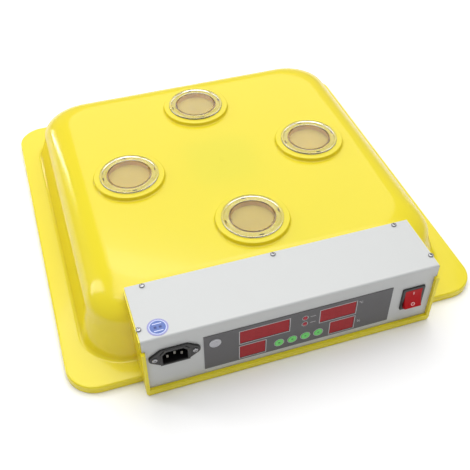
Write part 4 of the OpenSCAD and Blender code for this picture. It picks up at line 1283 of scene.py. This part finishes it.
@dataclass
class Screws:
    """Cross-head screws, one unit spread over each set of places. Millimetres."""

    repeater: Repeater
    lid_head: tuple[float, float] = (2.8, 1.7)
    inlet_head: tuple[float, float] = (2.7, 1.2)
    shaft_r: float = 1.45
    length: float = 8.0
    back_x: float = 137.4

    def unit(self, head_r: float, head_h: float) -> bpy.types.Object:
        """One pan head screw that points down from the origin."""
        shaft_r, length = self.shaft_r, self.length
        profile = [(0, -length), (shaft_r * 0.6, -length), (shaft_r, -length + 1), (shaft_r, 0), (head_r, 0),
                   (head_r, head_h * 0.45)]
        for turn in (20, 40, 60, 90):
            a = math.radians(turn)
            profile.append((head_r * (0.55 + 0.45 * math.cos(a)), head_h * (0.45 + 0.55 * math.sin(a))))
        screw = Solid().lathe([*profile, (0, head_h)], (0, 0, 0), 40).mesh("unit")
        arm, half, depth = head_r * 0.55, head_r * 0.13, head_h * 0.5
        for hx, hy in ((arm, half), (half, arm)):
            cut = Solid().box((-hx, -hy, head_h - depth), (hx, hy, head_h + 1))
            screw = combine(screw, cut.mesh("cut"), "DIFFERENCE")
        return screw

    def build(self) -> None:
        """Screws of the lid and of the inlet."""
        low, high = span("cover_screws")
        lid_top, r = span("control_cover")[1].z, self.lid_head[0]
        side_x, side_y, back_y = high.x - r, low.y + r, high.y - r
        places = [(-side_x, side_y, lid_top), (side_x, side_y, lid_top)]
        places += [(x, back_y, lid_top) for x in (-self.back_x, 0.0, self.back_x)]
        lid = self.repeater.spread("lid_screws", self.unit(*self.lid_head), places, ZINC)
        dress(lid, ZINC, nodes=["cover_screws"])
        low, high = span("inlet_screws")
        (r, head_h), z = self.inlet_head, (low.z + high.z) / 2
        places = [(x, low.y + head_h, z) for x in (low.x + r, high.x - r)]
        inlet = self.repeater.spread("inlet_flange_screws", self.unit(r, head_h), places, ZINC,
                                     (math.radians(90), 0.0, 0.0))
        dress(inlet, ZINC, nodes=["inlet_screws"])


# ---- under the dome and inside the box ------------------------------------------------------------

def paint_node(name: str, finish: Finish) -> None:
    """Gives a CAD node its finish."""
    node = frame["nodes"][name]
    node.data.materials.clear()
    node.data.materials.append(finish.material())
    log.info("%s: finish %s", name, finish.name)


@dataclass
class Fittings:
    """The heater's tube, and the finishes of the nodes whose CAD shape stays."""

    wire: WireArc
    gap: float = 9.0

    def heater(self) -> bpy.types.Object:
        """Round heater tube with a gap at the front."""
        low, high = span("heater_ring")
        tube = (high.z - low.z) / 2
        centre = (0.0, middle("fan_frame").y, (low.z + high.z) / 2)
        ring = self.wire.bend("heater_tube", centre, (high.x - low.x) / 2 - tube, tube,
                              -90 + self.gap, 360 - 2 * self.gap, SHEATH)
        return dress(ring, SHEATH, nodes=["heater_ring"])

    def build(self) -> None:
        """Makes the heater and paints the rest."""
        self.heater()
        for finish, names in FITTING_FINISHES:
            for name in names:
                paint_node(name, finish)


FITTING_FINISHES = (
    # The panes' yellow colour is painted light from inside the dome.
    (PANE, [f"window_pane_{side}" for side in ("front", "left", "back", "right")]),
    (OVERLAY, ["panel_overlay"]),
    (BOARD, ["display_board"]),
    (LAMINATE, ["power_board"]),
    (BLACK, ["tact_switches", "fuse_holder", "buzzer"]),
    (NYLON, ["board_spacers", "probe_clip", "humidity_sensor"]),
    (ZINC, ["board_screws", "power_board_screws", "fan_screws", "fan_guard"]),
    # The blades' dark metal colour is painted shade.
    (BLADE, ["inlet_pins", "switch_terminals"]),
    (CORE, ["transformer"]),
    (RELAY, ["relay"]),
    (SLEEVE, ["capacitors"]),
    (TERMINAL, ["terminal_block"]),
    (FAN_BLACK, ["fan_frame", "fan_rotor"]),
    (CERAMIC, ["heater_ends"]),
    (STEEL, ["heater_clips", "temperature_probe"]),
    (RUBBER, ["wire_grommet"]),
    (RED_PVC, ["fan_lead"]),
    (SILICONE, ["heater_leads"]),
    (BLACK_PVC, ["sensor_leads"]),
    (BROWN_PVC, ["mains_leads"]),
)


# ---- studio ---------------------------------------------------------------------------------------

@dataclass
class Studio:
    """Floor, light and camera. Metres and degrees, apart from the floor's half width in millimetres."""

    eye: tuple[float, float, float] = (-0.1981, -0.6459, 0.6179)
    lens: float = 55.75
    yaw: float = 18.1
    pitch: float = 44.4
    roll: float = 0.2
    floor_half: float = 4000.0
    floor_gap: float = 0.0003
    daylight: float = 0.42

    def camera(self) -> None:
        """Camera at the chosen eye point."""
        data = bpy.data.cameras.new("camera")
        data.lens = self.lens
        data.sensor_width = 36.0
        data.clip_start = 0.01
        obj = bpy.data.objects.new("camera", data)
        bpy.context.scene.collection.objects.link(obj)
        yaw, pitch, roll = (math.radians(v) for v in (self.yaw, self.pitch, self.roll))
        ahead = Vector((math.sin(yaw) * math.cos(pitch), math.cos(yaw) * math.cos(pitch), -math.sin(pitch)))
        right = Vector((math.cos(yaw), -math.sin(yaw), 0.0))
        down = ahead.cross(right)
        side = math.cos(roll) * right + math.sin(roll) * down
        drop = -math.sin(roll) * right + math.cos(roll) * down
        turn = Matrix((side, -drop, -ahead)).transposed().to_4x4()
        obj.matrix_world = Matrix.Translation(self.eye) @ turn
        bpy.context.scene.camera = obj

    def softbox(self, name: str, place: Sequence[float], aim: Sequence[float], size: tuple[float, float],
                power: float) -> None:
        """One rectangular area light.

        Args:
            name: its name.
            place: where it hangs.
            aim: the point that it faces.
            size: width and height.
            power: in watts.
        """
        data = bpy.data.lights.new(name, "AREA")
        data.shape = "RECTANGLE"
        data.size, data.size_y = size
        data.energy = power
        obj = bpy.data.objects.new(name, data)
        bpy.context.scene.collection.objects.link(obj)
        obj.location = place
        obj.rotation_euler = (Vector(aim) - Vector(place)).to_track_quat("-Z", "Y").to_euler()

    def floor(self) -> None:
        """Pale floor under the object."""
        half = self.floor_half
        obj = new_object("floor", [(-half, -half, 0), (half, -half, 0), (half, half, 0), (-half, half, 0)],
                         [(0, 1, 2, 3)])
        obj.location.z = CAD_BOX[0][2] - self.floor_gap
        obj.data.materials.append(FLOOR.material())

    def build(self) -> None:
        """Makes the studio."""
        self.camera()
        self.floor()
        world = bpy.data.worlds.new("studio")
        world.use_nodes = True
        background = world.node_tree.nodes["Background"]
        background.inputs["Color"].default_value = (1.0, 1.0, 1.0, 1.0)
        background.inputs["Strength"].default_value = self.daylight
        bpy.context.scene.world = world
        bpy.context.scene.view_settings.view_transform = "Standard"
        self.softbox("overhead", (0.2, 0.3, 2.2), (0.0, 0.0, 0.0), (2.4, 2.4), 45.5)
        self.softbox("behind", (1.0, 3.2, 2.9), (0.0, 0.0, 0.0), (3.4, 2.2), 28.0)
        self.softbox("left", (-1.6, 0.9, 1.1), (0.0, 0.1, 0.0), (0.5, 1.4), 9.0)
        self.softbox("strip", (-1.32, 1.73, 0.48), (-0.17, 0.1, 0.07), (0.04, 0.62), 1.8)


def main() -> None:
    """Builds the object's pieces in order."""
    logging.basicConfig(level=logging.INFO, format="%(message)s")
    Studio().build()
    repeater = Repeater()
    for part in (MouldedCover(), Windows(), ControlPanel(repeater), MainsInlet(), RockerSwitch(),
                 Screws(repeater), Fittings(WireArc())):
        part.build()


if __name__ == "__main__":
    main()
